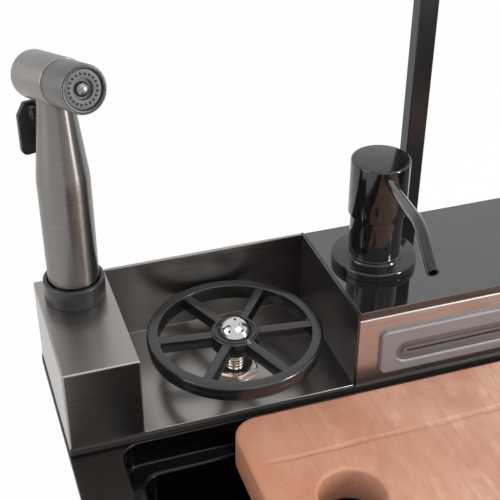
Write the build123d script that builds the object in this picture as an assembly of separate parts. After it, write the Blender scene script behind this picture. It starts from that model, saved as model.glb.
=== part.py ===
from build123d import *
import os
from math import cos, pi, sin, sqrt

# Kitchen sink: a large bowl with a working ledge, and behind it a raised platform that carries a spray gun,
# a cup rinser, a soap dispenser, a waterfall outlet and a slim tap.
# Millimetres. X runs to the right, Y to the back, Z up. The origin is the middle of the rim's seat,
# on the worktop's surface.

# Deck and seat
sink_width = 750.0
sink_depth = 470.0
deck_sheet = 3.0
deck_corner = 8.0
side_rim = 27.8
front_rim = 27.5
rear_ledge = 26.0
gasket_width = 9.0
gasket_sheet = 1.0

# Bowl
bowl_sheet = 1.5
bowl_corner = 11.5
bowl_drop = 200.0
bowl_flange = 8.0
bowl_setback = 3.0
bowl_foot_radius = 12.0
ledge_width = 10.0
ledge_drop = 14.0

# Clips that hold the rim down on the worktop
worktop_thickness = 30.0
rail_sheet = 1.5
rail_drop = 14.0
rail_lip = 6.0
rail_to_flange = 1.8
rear_rail_inset = 20.0
clip_width = 16.0
clip_reach = 17.5
clip_foot_drop = 36.0
clip_screw_radius = 2.5
clip_screw_head = 4.5
clip_pitch = 180.0

# Sound pads glued to the bowl
pad_sheet = 3.0
floor_pad = 200.0
floor_pad_x = 190.0
side_pad_length = 180.0
side_pad_height = 90.0
pad_corner = 10.0

# Raised platform
platform_depth = 92.0
platform_height = 51.6
platform_inset = 0.8
base_sheet = 3.3
base_overhang = 1.5
window_front = 14.0
window_rear = 8.0
window_side = 14.0
housing_width = 43.0
housing_sheet = 1.5
housing_edge = 1.2
tray_width = 127.6
tray_sheet = 1.2
tray_hem_sheet = 2.2
tray_hem_height = 5.0
tray_bend = 1.6

# Console
panel_sheet = 1.6
panel_ledge = 10.0
panel_edge = 0.9
glass_thickness = 5.0
glass_gap = 0.3
glass_setback = 0.9
glass_bevel = 2.0

# Waterfall outlet in the console's front
outlet_from_side = 15.2
outlet_length = 300.0
outlet_height = 30.5
outlet_above_floor = 5.5
outlet_corner = 4.5
outlet_proud = 2.5
outlet_edge = 0.8
recess_inset = 10.2
recess_height = 13.8
recess_above_floor = 12.5
nozzle_base = 0.9
nozzle_lip_height = 6.0
nozzle_lip_inset = 4.0
nozzle_lip_proud = 0.9
nozzle_slot = 1.5
nozzle_slot_inset = 7.0
box_height = 22.0
box_depth = 22.0
box_wall = 1.5
box_inlet_radius = 8.0
box_inlet_length = 16.0
box_elbow_reach = 24.0
box_elbow_height = 9.0

# Spray gun and its collar
gun_from_left = 21.7
gun_from_front = 72.0
gun_turn = 16.0
collar_radius = 17.85
collar_height = 13.0
collar_seat = 3.0
collar_edge = 0.6
collar_spigot_radius = 15.0
collar_spigot_length = 14.0
collar_nut_flats = 34.0
collar_nut_height = 6.0
tail_radius = 10.0
tail_bore = 6.0
tail_length = 18.0
hose_thread_radius = 7.5
hose_thread_length = 16.0
handle_radius = 14.8
handle_edge = 0.8
handle_straight = 76.0
handle_blend = 60.0
neck_radius = 9.8
neck_height = 120.5
head_height = 133.1
head_tilt = 13.2
barrel_radius = 13.2
barrel_back = 25.7
barrel_front = 13.6
barrel_edge = 1.5
sleeve_radius = 12.6
sleeve_front = 37.2
spigot_radius = 9.0
spigot_length = 8.4
face_radius = 11.8
face_bore_radius = 10.6
face_seat = 33.0
face_disc = 2.2
face_ring_inner = 10.2
face_ring_height = 2.2
face_raise = 1.0
face_holes = 18
face_hole_radius = 0.55
face_hole_circle = 7.7
jet_radius = 3.6
jet_height = 1.8

# Trigger at the back of the gun
lever_width = 25.0
lever_length = 31.5
lever_sheet = 3.0
lever_corner = 4.0
lever_cut_width = 4.2
lever_cut_height = 7.0
lever_above_pivot = 5.2
pivot_back = 19.5
pivot_height = 107.7
lug_radius = 3.4
lug_width = 7.0
ear_width = 3.0
pin_radius = 1.5
plunger_radius = 2.4
plunger_below_pivot = 12.0
plunger_length = 14.6
plunger_room = 4.0

# Cup rinser
rinser_from_housing = 65.2
rinser_from_front = 36.5
wheel_radius = 52.4
wheel_top = 29.5
rim_width = 6.7
rim_height = 10.0
rim_round = 1.3
rim_groove = 0.8
spokes = 6
spoke_first_angle = 52.3
spoke_width = 6.0
spoke_sink = 0.6
spoke_height = 8.6
spoke_round = 1.1
hub_radius = 14.5
hub_height = 9.5
hub_boss_radius = 8.5
hub_boss_height = 14.0
hub_ring_radius = 13.2
hub_ring_bore = 11.3
hub_ring_height = 1.0
hub_roof = 2.0
dome_radius = 10.4
dome_height = 8.2
dome_holes = 6
dome_first_angle = -12.7
dome_hole_radius = 0.8
dome_hole_circle = 8.0
valve_shank_radius = 10.2
valve_shank_below = 22.0
rinser_inlet_radius = 8.33
rinser_inlet_length = 24.0
valve_shank_above = 2.6
valve_bore = 5.0
stem_radius = 6.1
lock_nut_flats = 25.4
lock_nut_height = 5.0
lock_nut_turn = -36.0
back_nut_flats = 29.0
back_nut_height = 8.0
rinser_wire = 0.9
rinser_coil_radius = 4.2
rinser_coils = 3
rinser_spring_length = 9.0

# Soap dispenser
pump_from_console = 31.8
pump_from_front = 50.8
pump_turn = -11.5
flange_radius = 26.0
flange_height = 7.0
flange_side = 4.2
flange_shoulder_radius = 23.0
flange_shoulder = 5.4
pump_neck_radius = 15.8
pump_neck_top = 47.0
pump_bore = 9.0
pump_shank_radius = 12.0
pump_shank_length = 62.0
cap_radius = 17.5
cap_bottom = 34.7
cap_top = 70.5
cap_roof = 3.0
cap_edge = 1.0
pump_stem_radius = 4.0
piston_height = 5.0
guide_rim = 2.0
guide_length = 6.0
pump_wire = 1.2
pump_coil_radius = 6.6
pump_coils = 7
spout_start_radius = 2.4
spout_radius = 3.2
spout_bore = 2.2
spout_exit_drop = 5.5
spout_elbow_reach = 84.5
spout_elbow_rise = 7.4
spout_tip_reach = 113.0
spout_tip_drop = 3.1
spout_bend = 70.0
pump_nut_flats = 36.0
pump_nut_height = 8.0
bottle_radius = 29.0
bottle_wall = 1.2
bottle_neck_radius = 14.5
bottle_neck_length = 14.0
bottle_shoulder = 18.0
bottle_length = 130.0
dip_radius = 3.0
dip_bore = 2.0
dip_clear_floor = 6.0

# Drain and strainer
drain_hole_radius = 45.0
drain_dish_radius = 58.0
drain_dish_depth = 2.5
drain_flange_radius = 57.0
drain_flange_sheet = 2.0
drain_throat_wall = 2.0
drain_throat_length = 24.0
drain_lip = 4.0
drain_gasket_sheet = 3.0
drain_body_wall = 2.5
drain_body_flange = 4.0
drain_body_length = 48.0
drain_outlet_length = 20.0
tail_pipe_radius = 20.0
tail_pipe_wall = 1.5
tail_pipe_length = 56.0
tail_pipe_entry = 14.0
tail_pipe_step = 0.5
basket_wall = 1.2
basket_floor_radius = 32.0
basket_depth = 32.0
basket_rim = 1.5
basket_post_radius = 4.0
basket_post_height = 27.0
basket_knob_radius = 7.5
basket_knob_height = 5.0
basket_holes = 14
basket_hole_radius = 2.6
basket_hole_circle = 23.0

# Overflow
overflow_below_seat = 40.0
overflow_hole_radius = 14.0
overflow_cover_radius = 24.0
overflow_cover_sheet = 3.0
overflow_slots = 3
overflow_slot_height = 4.0
overflow_slot_length = 26.0
overflow_slot_pitch = 8.0
overflow_flange_radius = 20.0
overflow_flange_sheet = 3.0
overflow_pipe_radius = 9.0
overflow_pipe_wall = 1.5
overflow_pipe_back = 32.5
overflow_bend = 24.0
overflow_port_drop = 20.0
overflow_port_wall = 2.0
overflow_port_length = 16.0

# Slim tap behind the console
tap_from_console = 76.9
tap_width = 12.4
tap_bar_depth = 10.0
tap_behind_console = 1.5
tap_corner = 1.0
tap_column_height = 296.0
tap_base_width = 34.0
tap_base_depth = 13.0
tap_base_height = 12.0
tap_base_corner = 3.0
tap_bore = 4.05
tap_reach = 200.0
tap_spout_gap = 0.4
tap_spigot_length = 20.0
tap_stud_radius = 6.0
tap_stud_length = 17.0
tap_inlet_radius = 5.0
tap_inlet_length = 23.0
tap_nut_flats = 19.0
tap_nut_height = 7.0
aerator_radius = 4.9
aerator_height = 6.0
aerator_bore = 3.6

# Mixer knob and two keys in the console's top
mixer_from_right = 124.0
mixer_from_front = 46.0
knob_radius = 21.0
knob_height = 23.0
knob_edge = 1.5
knob_gap = 0.5
cartridge_radius = 17.5
cartridge_collar_radius = 23.0
cartridge_collar_height = 6.0
cartridge_length = 44.0
spindle_radius = 4.0
spindle_length = 15.0
manifold_width = 64.0
manifold_depth = 34.0
manifold_height = 12.0
inlet_radius = 8.33
inlet_spacing = 40.0
inlet_length = 40.0
keys_from_right = 224.0
key_width = 25.0
key_depth = 40.0
key_height = 13.0
key_proud = 3.4
key_gap = 0.8
key_corner = 2.0
key_travel = 3.0
key_stem_radius = 3.0
key_stem_length = 11.0
frame_rim = 4.0
frame_rim_sheet = 1.2
frame_wall = 2.0
frame_drop = 9.0
valve_block_height = 20.0

# Chopping board on the bowl's ledge
board_from_bowl_left = 62.3
board_width = 300.0
board_thickness = 24.0
board_front_room = 4.0
board_rear_room = 6.5
board_corner = 15.0
board_edge = 2.0
finger_hole_radius = 18.4
finger_hole_from_left = 45.2
finger_hole_from_rear = 73.3

# Clearances
running = 0.06
slip = 0.05
loose = 0.4
apart = 0.3
cut = 1.0

# Levels, from the worktop's surface up
deck_bottom = gasket_sheet
deck_top = deck_bottom + deck_sheet
base_top = deck_top + base_sheet
tray_floor = base_top + tray_sheet
platform_top = tray_floor + platform_height
glass_bottom = platform_top - glass_thickness
ledge_top = deck_bottom - ledge_drop
bowl_floor = deck_bottom - bowl_drop

# Places along X and Y
front_y = -sink_depth / 2
back_y = sink_depth / 2
platform_rear = back_y - rear_ledge
platform_front = platform_rear - platform_depth
bowl_rear = platform_front - bowl_setback
bowl_front = front_y + front_rim
bowl_depth = bowl_rear - bowl_front
bowl_y = (bowl_rear + bowl_front) / 2
bowl_width = sink_width - 2 * side_rim
well_width = bowl_width - 2 * ledge_width
well_depth = bowl_depth - 2 * ledge_width
platform_left = -sink_width / 2 + platform_inset
platform_right = sink_width / 2 - platform_inset
housing_right = platform_left + housing_width
console_left = housing_right + tray_width
gun_x = platform_left + gun_from_left
gun_y = platform_front + gun_from_front
rinser_x = housing_right + rinser_from_housing
rinser_y = platform_front + rinser_from_front
pump_x = console_left + pump_from_console
pump_y = platform_front + pump_from_front
tap_x = console_left + tap_from_console
tap_y = platform_rear + tap_behind_console + tap_bar_depth / 2
mixer_x = platform_right - mixer_from_right
mixer_y = platform_front + mixer_from_front
keys_x = platform_right - keys_from_right
keys_y = mixer_y
drain_x = 0.0
drain_y = bowl_y

base = (Align.CENTER, Align.CENTER, Align.MIN)


def rod(radius, low, high):
    return Pos(0, 0, low) * Cylinder(radius, high - low, align=base)


def tube(outer, inner, low, high):
    return Pos(0, 0, low) * extrude(Circle(outer) - Circle(inner), high - low)


def slab(width, depth, low, high, corner):
    return Pos(0, 0, low) * extrude(RectangleRounded(width, depth, corner), high - low)


def block(x_low, x_high, y_low, y_high, z_low, z_high):
    box = Box(x_high - x_low, y_high - y_low, z_high - z_low, align=(Align.MIN, Align.MIN, Align.MIN))
    return Pos(x_low, y_low, z_low) * box


def turned(*outline):
    """A solid of revolution about Z, from (radius, height) points."""
    return revolve(make_face(Polyline(*[(r, 0, z) for r, z in outline], close=True)), Axis.Z)


def folded(length, *outline):
    """A folded sheet: an outline of (y, z) points, drawn out along X and centred on it."""
    face = make_face(Polyline(*[(0, y, z) for y, z in outline], close=True))
    return Pos(-length / 2, 0, 0) * extrude(face, length, dir=(1, 0, 0))


def hex_nut(flats, bore, low, high):
    outline = RegularPolygon(flats / 2, 6, major_radius=False) - Circle(bore)
    return Pos(0, 0, low) * extrude(outline, high - low)


def around(count, first=0.0):
    return [first + 360.0 * i / count for i in range(count)]


def arc_pair(start, start_way, end, end_way):
    """Two arcs that leave start and reach end in the given directions."""
    gap = end - start
    turn = start_way + end_way
    a = turn.dot(turn) - 4
    b = gap.dot(turn)
    reach = (b - sqrt(b * b - a * gap.dot(gap))) / a if abs(a) > 1e-9 else gap.dot(gap) / (2 * b)
    meet = (start + start_way * reach + end - end_way * reach) / 2
    first = TangentArc(start, meet, tangent=start_way)
    second = TangentArc(meet, end, tangent=first % 1)
    return [first, second]


def coil_spring(name, coil_radius, wire, coils, low, high):
    """One unbroken wire wound about Z between two levels, in quarter turns."""
    rise = (high - low - wire) / coils
    count = 4 * coils

    def place(i):
        angle = 2 * pi * i / 4
        return Vector(coil_radius * cos(angle), coil_radius * sin(angle), low + wire / 2 + rise * i / 4)

    def way(i):
        angle = 2 * pi * i / 4
        step = Vector(-sin(angle), cos(angle), rise / (2 * pi * coil_radius))
        return step.normalized()

    arcs = [arc for i in range(count) for arc in arc_pair(place(i), way(i), place(i + 1), way(i + 1))]
    path = Wire(arcs)
    section = Plane(origin=place(0), z_dir=way(0)) * Circle(wire / 2)
    gap = min((place(i) - place(i + 4)).length for i in range(count - 3)) - wire
    print(f"{name}: least gap between its turns {gap:.2f} mm")
    return sweep(section, path)


def make_deck():
    """Flat pressed deck with the bowl's opening and the holes for the fittings."""
    deck = slab(sink_width, sink_depth, deck_bottom, deck_top, deck_corner)
    deck -= Pos(0, bowl_y, 0) * slab(bowl_width, bowl_depth, deck_bottom - cut, deck_top + cut, bowl_corner)
    deck -= service_window(deck_bottom - cut, deck_top + cut)
    deck -= fitting_holes(deck_bottom - cut, deck_top + cut)
    return deck - Pos(tap_x, tap_y, 0) * rod(tap_stud_radius + loose, deck_bottom - cut, deck_top + cut)


def service_window(low, high):
    """Opening under the console for hoses and the soap bottle."""
    return block(
        console_left + window_side,
        platform_right - window_side,
        platform_front + window_front,
        platform_rear - window_rear,
        low,
        high,
    )


def fitting_holes(low, high):
    """Holes for the gun's hose and the rinser's shank."""
    hose = Pos(gun_x, gun_y, 0) * rod(tail_radius + 2 * loose, low, high)
    shank = Pos(rinser_x, rinser_y, 0) * rod(valve_shank_radius + loose, low, high)
    return hose + shank


def make_rim_gasket():
    """Foam strip between the rim and the worktop."""
    ring = slab(sink_width, sink_depth, 0, gasket_sheet, deck_corner)
    inner_corner = deck_corner / 2
    hole = slab(
        sink_width - 2 * gasket_width, sink_depth - 2 * gasket_width, -cut, gasket_sheet + cut, inner_corner
    )
    return ring - hole


def bowl_shell():
    """The whole bowl: welding flange, upper recess, ledge all round, well with a dished drain seat."""
    sheet = bowl_sheet
    flange = slab(
        bowl_width + 2 * bowl_flange,
        bowl_depth + 2 * bowl_flange,
        deck_bottom - sheet,
        deck_bottom,
        bowl_corner + bowl_flange,
    )
    outer_corner = bowl_corner + sheet
    below_ledge = ledge_top - sheet
    recess = slab(bowl_width + 2 * sheet, bowl_depth + 2 * sheet, below_ledge, deck_bottom, outer_corner)
    well = slab(well_width + 2 * sheet, well_depth + 2 * sheet, bowl_floor - sheet, ledge_top, outer_corner)
    well = fillet(well.edges().group_by(Axis.Z)[0], bowl_foot_radius + sheet)
    recess_room = slab(bowl_width, bowl_depth, ledge_top, deck_bottom + cut, bowl_corner)
    well_room = slab(well_width, well_depth, bowl_floor, ledge_top + cut, bowl_corner)
    well_room = fillet(well_room.edges().group_by(Axis.Z)[0], bowl_foot_radius)
    dish = bowl_floor - drain_dish_depth
    bowl = flange + recess + well + rod(drain_dish_radius + sheet, dish - sheet, bowl_floor)
    bowl -= recess_room + well_room
    bowl -= rod(drain_dish_radius, dish, bowl_floor + cut)
    bowl -= rod(drain_hole_radius, dish - sheet - cut, bowl_floor + cut)
    bowl = Pos(drain_x, drain_y, 0) * bowl
    return bowl - overflow_place() * rod(overflow_hole_radius, -cut, sheet + cut)


def ring_sheets(shell, half_x, half_y, low, high):
    """The four sides and four corners of a ring of the bowl between two levels."""
    far = sink_width
    across = [(-far, -half_x), (-half_x, half_x), (half_x, far)]
    along = [(-far, -half_y), (-half_y, half_y), (half_y, far)]
    sheets = []
    for left, right in across:
        for front, rear in along:
            if left != -half_x or front != -half_y:
                sheets.append(shell & block(left, right, bowl_y + front, bowl_y + rear, low, high))
    return sheets


def floor_half():
    """Half the flat floor's width and depth, between the bends at the foot of the walls."""
    return well_width / 2 - bowl_foot_radius, well_depth / 2 - bowl_foot_radius


def make_bowl():
    """Bent sheets welded into one bowl: the rim's wall with its flange, the ledge and the well's walls."""
    shell = bowl_shell()
    under_ledge = ledge_top - bowl_sheet
    rim = ring_sheets(
        shell, bowl_width / 2 - bowl_corner, bowl_depth / 2 - bowl_corner, ledge_top, deck_bottom
    )
    ledge = ring_sheets(shell, *floor_half(), under_ledge, ledge_top)
    walls = ring_sheets(shell, *floor_half(), bowl_floor - bowl_sheet, under_ledge)
    return rim + ledge + walls


def make_bowl_floor():
    """Flat floor of the bowl with the dish for the drain, welded in between the walls' feet."""
    half_x, half_y = floor_half()
    low = dish_level() - bowl_sheet
    return bowl_shell() & block(-half_x, half_x, bowl_y - half_y, bowl_y + half_y, low, bowl_floor)


def overflow_place():
    """On the well's rear wall, with Z pointing out of the bowl to the back."""
    wall = bowl_y + well_depth / 2
    return Pos(drain_x, wall, -overflow_below_seat) * Rot(-90, 0, 0)


def make_sound_pads():
    """Rubber pads that deaden the bowl: two under the floor, one on each side."""
    under = bowl_floor - bowl_sheet
    pads = []
    for side in (-1, 1):
        floor = slab(floor_pad, floor_pad, under - pad_sheet, under, pad_corner)
        pads.append(Pos(side * floor_pad_x, bowl_y, 0) * floor)
        wall = slab(side_pad_height, side_pad_length, 0, pad_sheet, pad_corner)
        wall_x = side * (well_width / 2 + bowl_sheet)
        pads.append(Pos(wall_x, bowl_y, bowl_floor / 2) * Rot(0, side * 90, 0) * wall)
    return pads


def rim_sides():
    """Each run of rail: where its back stands, how it is turned, and its length."""
    side_x = bowl_width / 2 + bowl_flange + rail_to_flange
    front = bowl_front - bowl_flange - rail_to_flange
    rear = back_y - rear_rail_inset
    return [
        (Pos(0, front, 0), 0, 3 * clip_pitch),
        (Pos(side_x, bowl_y, 0), 90, 1.4 * clip_pitch),
        (Pos(-side_x, bowl_y, 0), -90, 1.4 * clip_pitch),
        (Pos((tap_x + platform_right) / 2, rear, 0), 180, 2 * clip_pitch),
    ]


def make_clip_rails():
    """Strips with an outward lip, welded under the deck, that the clips hook on."""
    top = deck_bottom
    foot = deck_bottom - rail_drop
    rails = []
    for place, turn, length in rim_sides():
        rail = folded(
            length,
            (0, top),
            (-rail_sheet, top),
            (-rail_sheet, foot + rail_sheet),
            (-rail_lip, foot + rail_sheet),
            (-rail_lip, foot),
            (0, foot),
        )
        rails.append(place * Rot(0, 0, turn) * rail)
    return rails


def clip_places():
    places = []
    for place, turn, length in rim_sides():
        count = int(length // clip_pitch) + 1
        for i in range(count):
            along = (i - (count - 1) / 2) * clip_pitch
            places.append(place * Rot(0, 0, turn) * Pos(along, 0, 0))
    return places


def make_mounting_clips():
    """Bent clips that hook over the rail's lip and reach under the worktop."""
    lip = deck_bottom - rail_drop + rail_sheet
    foot = deck_bottom - clip_foot_drop
    leg = rail_lip + apart
    clip = folded(
        clip_width,
        (-rail_sheet - apart, lip),
        (-rail_sheet - apart, lip + rail_sheet),
        (-leg - rail_sheet, lip + rail_sheet),
        (-leg - rail_sheet, foot + rail_sheet),
        (-clip_reach, foot + rail_sheet),
        (-clip_reach, foot),
        (-leg, foot),
        (-leg, lip),
    )
    clip -= Pos(0, -clip_screw_out(), 0) * rod(clip_screw_radius + slip, foot - cut, foot + rail_sheet + cut)
    return [place * clip for place in clip_places()]


def clip_screw_out():
    return (rail_lip + apart + rail_sheet + clip_reach) / 2


def make_clip_screws():
    """Screws that press up against the worktop's underside."""
    foot = deck_bottom - clip_foot_drop
    screw = rod(clip_screw_radius, foot, -worktop_thickness)
    screw += rod(clip_screw_head, foot - 2 * rail_sheet, foot)
    return [place * Pos(0, -clip_screw_out(), 0) * screw for place in clip_places()]


def make_platform_base():
    """Strip of plate along the deck that the housing, the tray and the console stand on."""
    strip = block(
        platform_left, platform_right, platform_front - base_overhang, platform_rear, deck_top, base_top
    )
    strip -= service_window(deck_top - cut, base_top + cut)
    return strip - fitting_holes(deck_top - cut, base_top + cut)


def make_gun_housing():
    """Folded box at the left end, open below, with the collar's hole in its top."""
    shell = block(platform_left, housing_right, platform_front, platform_rear, base_top, platform_top)
    upright = shell.edges().filter_by(Axis.Z)
    shell = fillet(upright + shell.faces().sort_by(Axis.Z)[-1].edges(), housing_edge)
    shell -= block(
        platform_left + housing_sheet,
        housing_right - housing_sheet,
        platform_front + housing_sheet,
        platform_rear - housing_sheet,
        base_top - cut,
        platform_top - housing_sheet,
    )
    hole = rod(collar_spigot_radius + slip, platform_top - housing_sheet - cut, platform_top + cut)
    return shell - Pos(gun_x, gun_y, 0) * hole


def make_rinser_tray():
    """Tray floor and back wall folded from one sheet, with a hem along the top."""
    inner = platform_rear - tray_sheet
    tray = folded(
        tray_width,
        (platform_front, base_top),
        (platform_rear, base_top),
        (platform_rear, platform_top),
        (platform_rear - tray_hem_sheet, platform_top),
        (platform_rear - tray_hem_sheet, platform_top - tray_hem_height),
        (inner, platform_top - tray_hem_height),
        (inner, tray_floor),
        (platform_front, tray_floor),
    )
    bend = tray.edges().filter_by(Axis.X).sort_by_distance((0, inner, tray_floor))[0]
    tray = Pos((housing_right + console_left) / 2, 0, 0) * fillet(bend, tray_bend)
    return tray - fitting_holes(base_top - cut, tray_floor + cut)


def console_span():
    return platform_right - console_left - 2 * panel_sheet


def console_panel(face_y, inward):
    """Front or rear panel with a ledge folded inwards for the glass; inward is 1 or -1 along Y."""
    inner = face_y + inward * panel_sheet
    panel = folded(
        console_span(),
        (face_y, base_top),
        (face_y, glass_bottom),
        (face_y + inward * panel_ledge, glass_bottom),
        (face_y + inward * panel_ledge, glass_bottom - panel_sheet),
        (inner, glass_bottom - panel_sheet),
        (inner, base_top),
    )
    corner = panel.edges().filter_by(Axis.X).sort_by_distance((0, face_y, glass_bottom))[0]
    return Pos((console_left + platform_right) / 2, 0, 0) * fillet(corner, panel_edge)


def outlet_place():
    """Middle of the outlet's recess on the console's front face."""
    x = console_left + outlet_from_side + outlet_length / 2
    return Pos(x, platform_front, tray_floor + recess_above_floor + recess_height / 2)


def stadium(length, height, depth):
    """A slab with round ends, standing on the console's front and reaching forwards by depth."""
    return extrude(Plane.XZ * SlotOverall(length, height), depth)


def recess_length():
    return outlet_length - 2 * recess_inset


def make_console_front():
    slot = stadium(recess_length() - 2 * nozzle_slot_inset, nozzle_slot * 2, panel_sheet + 2 * cut)
    return console_panel(platform_front, 1) - outlet_place() * Pos(0, panel_sheet + cut, 0) * slot


def make_console_sides():
    """End panels, as high as the glass, so that their edges frame it."""
    height = (base_top, platform_top)
    left = block(console_left, console_left + panel_sheet, platform_front, platform_rear, *height)
    right = block(platform_right - panel_sheet, platform_right, platform_front, platform_rear, *height)
    return [left, right]


def make_glass_top():
    """Toughened glass, bevelled along its front, with cut-outs for the fittings."""
    inset = panel_sheet + glass_gap
    glass = block(
        console_left + inset,
        platform_right - inset,
        platform_front + glass_setback,
        platform_rear - glass_setback,
        glass_bottom,
        platform_top,
    )
    front = glass.faces().sort_by(Axis.Z)[-1].edges().filter_by(Axis.X).sort_by(Axis.Y)[0]
    glass = chamfer(front, glass_bevel)
    through = (glass_bottom - cut, platform_top + cut)
    glass -= Pos(pump_x, pump_y, 0) * rod(pump_shank_radius + loose, *through)
    glass -= Pos(mixer_x, mixer_y, 0) * rod(cartridge_radius + loose, *through)
    width, depth = frame_outline()
    return glass - at_keys(slab(width + loose, depth + loose, *through, key_corner + frame_wall))


def make_outlet_plate():
    """Proud plate round the waterfall outlet, with a long recess with round ends."""
    middle = outlet_above_floor + outlet_height / 2 - recess_above_floor - recess_height / 2
    outline = Pos(0, middle) * RectangleRounded(outlet_length, outlet_height, outlet_corner)
    outline -= SlotOverall(recess_length(), recess_height)
    plate = extrude(Plane.XZ * outline, outlet_proud)
    plate = chamfer(plate.faces().sort_by(Axis.Y)[0].edges(), outlet_edge)
    return outlet_place() * plate


def make_waterfall_nozzle():
    """Nozzle bar in the recess: a flat floor and a raised lip round the thin water slot."""
    length = recess_length()
    bar = stadium(length - 2 * slip, recess_height - 2 * slip, nozzle_base)
    lip = stadium(length - 2 * nozzle_lip_inset, nozzle_lip_height, nozzle_base + nozzle_lip_proud)
    slot = stadium(length - 2 * nozzle_slot_inset, nozzle_slot, nozzle_base + nozzle_lip_proud + 2 * cut)
    return outlet_place() * (bar + lip - Pos(0, cut, 0) * slot)


def make_waterfall_box():
    """Water chamber behind the panel that feeds the slot evenly."""
    half = recess_length() / 2
    back = panel_sheet + box_depth
    wall = box_wall
    high = box_height / 2
    chamber = block(-half, half, panel_sheet, back, -high, high)
    inlet_y = back + box_elbow_reach
    elbow_side = box_inlet_radius + wall
    elbow_low = high - box_elbow_height
    bore = box_inlet_radius - wall
    chamber += block(-elbow_side, elbow_side, back, inlet_y + elbow_side, elbow_low, high)
    chamber += Pos(0, inlet_y, 0) * rod(box_inlet_radius, elbow_low - box_inlet_length, elbow_low)
    chamber -= block(-half + wall, half - wall, panel_sheet + wall, back - wall, -high + wall, high - wall)
    chamber -= block(-bore, bore, back - wall - cut, inlet_y + bore, elbow_low + wall, high - wall)
    chamber -= Pos(0, inlet_y, 0) * rod(bore, elbow_low - box_inlet_length - cut, elbow_low + wall + cut)
    slot = stadium(recess_length() - 2 * nozzle_slot_inset, nozzle_slot * 2, wall + 2 * cut)
    return outlet_place() * (chamber - Pos(0, panel_sheet + wall + cut, 0) * slot)


def gun_place():
    return Pos(gun_x, gun_y, 0) * Rot(0, 0, gun_turn)


def gun_seat():
    return platform_top + collar_seat


def make_gun_collar():
    """Cup that the gun stands in, with a threaded spigot through the housing."""
    seat = gun_seat()
    pocket = handle_radius + apart
    way = tail_radius + loose
    foot = platform_top - collar_spigot_length
    collar = turned(
        (way, foot),
        (collar_spigot_radius, foot),
        (collar_spigot_radius, platform_top),
        (collar_radius, platform_top),
        (collar_radius, platform_top + collar_height - collar_edge),
        (collar_radius - collar_edge, platform_top + collar_height),
        (pocket, platform_top + collar_height),
        (pocket, seat),
        (way, seat),
    )
    return Pos(gun_x, gun_y, 0) * collar


def head_place():
    """On the gun's axis, with Z along the barrel towards the nozzle."""
    return gun_place() * Pos(0, 0, gun_seat() + head_height) * Rot(90 - head_tilt, 0, 0)


def pivot_level():
    return gun_seat() + pivot_height


def lug(radius, x_low, x_high, y_low):
    """A rounded lug round the trigger's pin, reaching to y_low."""
    z = pivot_level()
    bar = block(x_low, x_high, min(y_low, pivot_back), max(y_low, pivot_back), z - radius, z + radius)
    return bar + Pos(x_low, pivot_back, z) * Rot(0, 90, 0) * rod(radius, 0, x_high - x_low)


def make_gun_body():
    """Cast body: round handle drawn in to a neck, barrel across its top, lug for the trigger."""
    seat = gun_seat()
    shoulder = seat + handle_straight
    top = seat + head_height
    handle = turned(
        (0, seat),
        (handle_radius - handle_edge, seat),
        (handle_radius, seat + handle_edge),
        (handle_radius, shoulder),
        (neck_radius, seat + neck_height),
        (neck_radius, top),
        (0, top),
    )
    rings = handle.edges().filter_by(GeomType.CIRCLE)
    bend = rings.filter_by_position(Axis.Z, shoulder - slip, shoulder + slip)
    handle = gun_place() * fillet(bend, handle_blend)
    barrel = rod(barrel_radius, -barrel_back, barrel_front)
    barrel = fillet(barrel.edges().group_by(Axis.Z)[0], barrel_edge)
    barrel += rod(spigot_radius, barrel_front, barrel_front + spigot_length)
    body = handle + head_place() * barrel + gun_place() * lug(lug_radius, -lug_width / 2, lug_width / 2, 0)
    body -= gun_place() * pin_rod(pin_radius + slip / 2, 2 * lug_width)
    way_foot = plunger_tip() - plunger_length - plunger_room
    return body - gun_place() * plunger_place() * rod(plunger_radius + running, way_foot, handle_radius)


def make_gun_sleeve():
    """Front sleeve screwed on the barrel, with a stepped bore for the spray face."""
    shoulder = barrel_front + spigot_length
    sleeve = tube(sleeve_radius, spigot_radius + slip, barrel_front, shoulder)
    sleeve += tube(sleeve_radius, face_bore_radius, shoulder, face_seat)
    sleeve += tube(sleeve_radius, face_radius + slip, face_seat, sleeve_front)
    return head_place() * sleeve


def make_gun_spray_face():
    """Disc with a ring of spray holes and a seat for the centre jet."""
    rim = face_seat + face_disc
    disc = rod(face_radius, face_seat, rim) + rod(face_ring_inner - slip, rim, rim + face_raise)
    for angle in around(face_holes):
        hole = Pos(face_hole_circle, 0, 0) * rod(face_hole_radius, face_seat - cut, rim + face_raise + cut)
        disc -= Rot(0, 0, angle) * hole
    return head_place() * disc


def make_gun_face_ring():
    rim = face_seat + face_disc
    return head_place() * tube(face_radius, face_ring_inner, rim, rim + face_ring_height)


def make_gun_centre_jet():
    """Domed plug in the middle of the spray face."""
    low = face_seat + face_disc + face_raise
    ball = (jet_radius**2 + jet_height**2) / (2 * jet_height)
    dome = Pos(0, 0, low + jet_height - ball) * Sphere(ball)
    return head_place() * (dome & rod(jet_radius + cut, low, low + ball))


def make_gun_hose_tail():
    """Threaded tail that the hose screws on, below the handle."""
    step = gun_seat() - tail_length
    tail = tube(tail_radius, tail_bore, step, gun_seat())
    return gun_place() * (tail + tube(hose_thread_radius, tail_bore, step - hose_thread_length, step))


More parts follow.
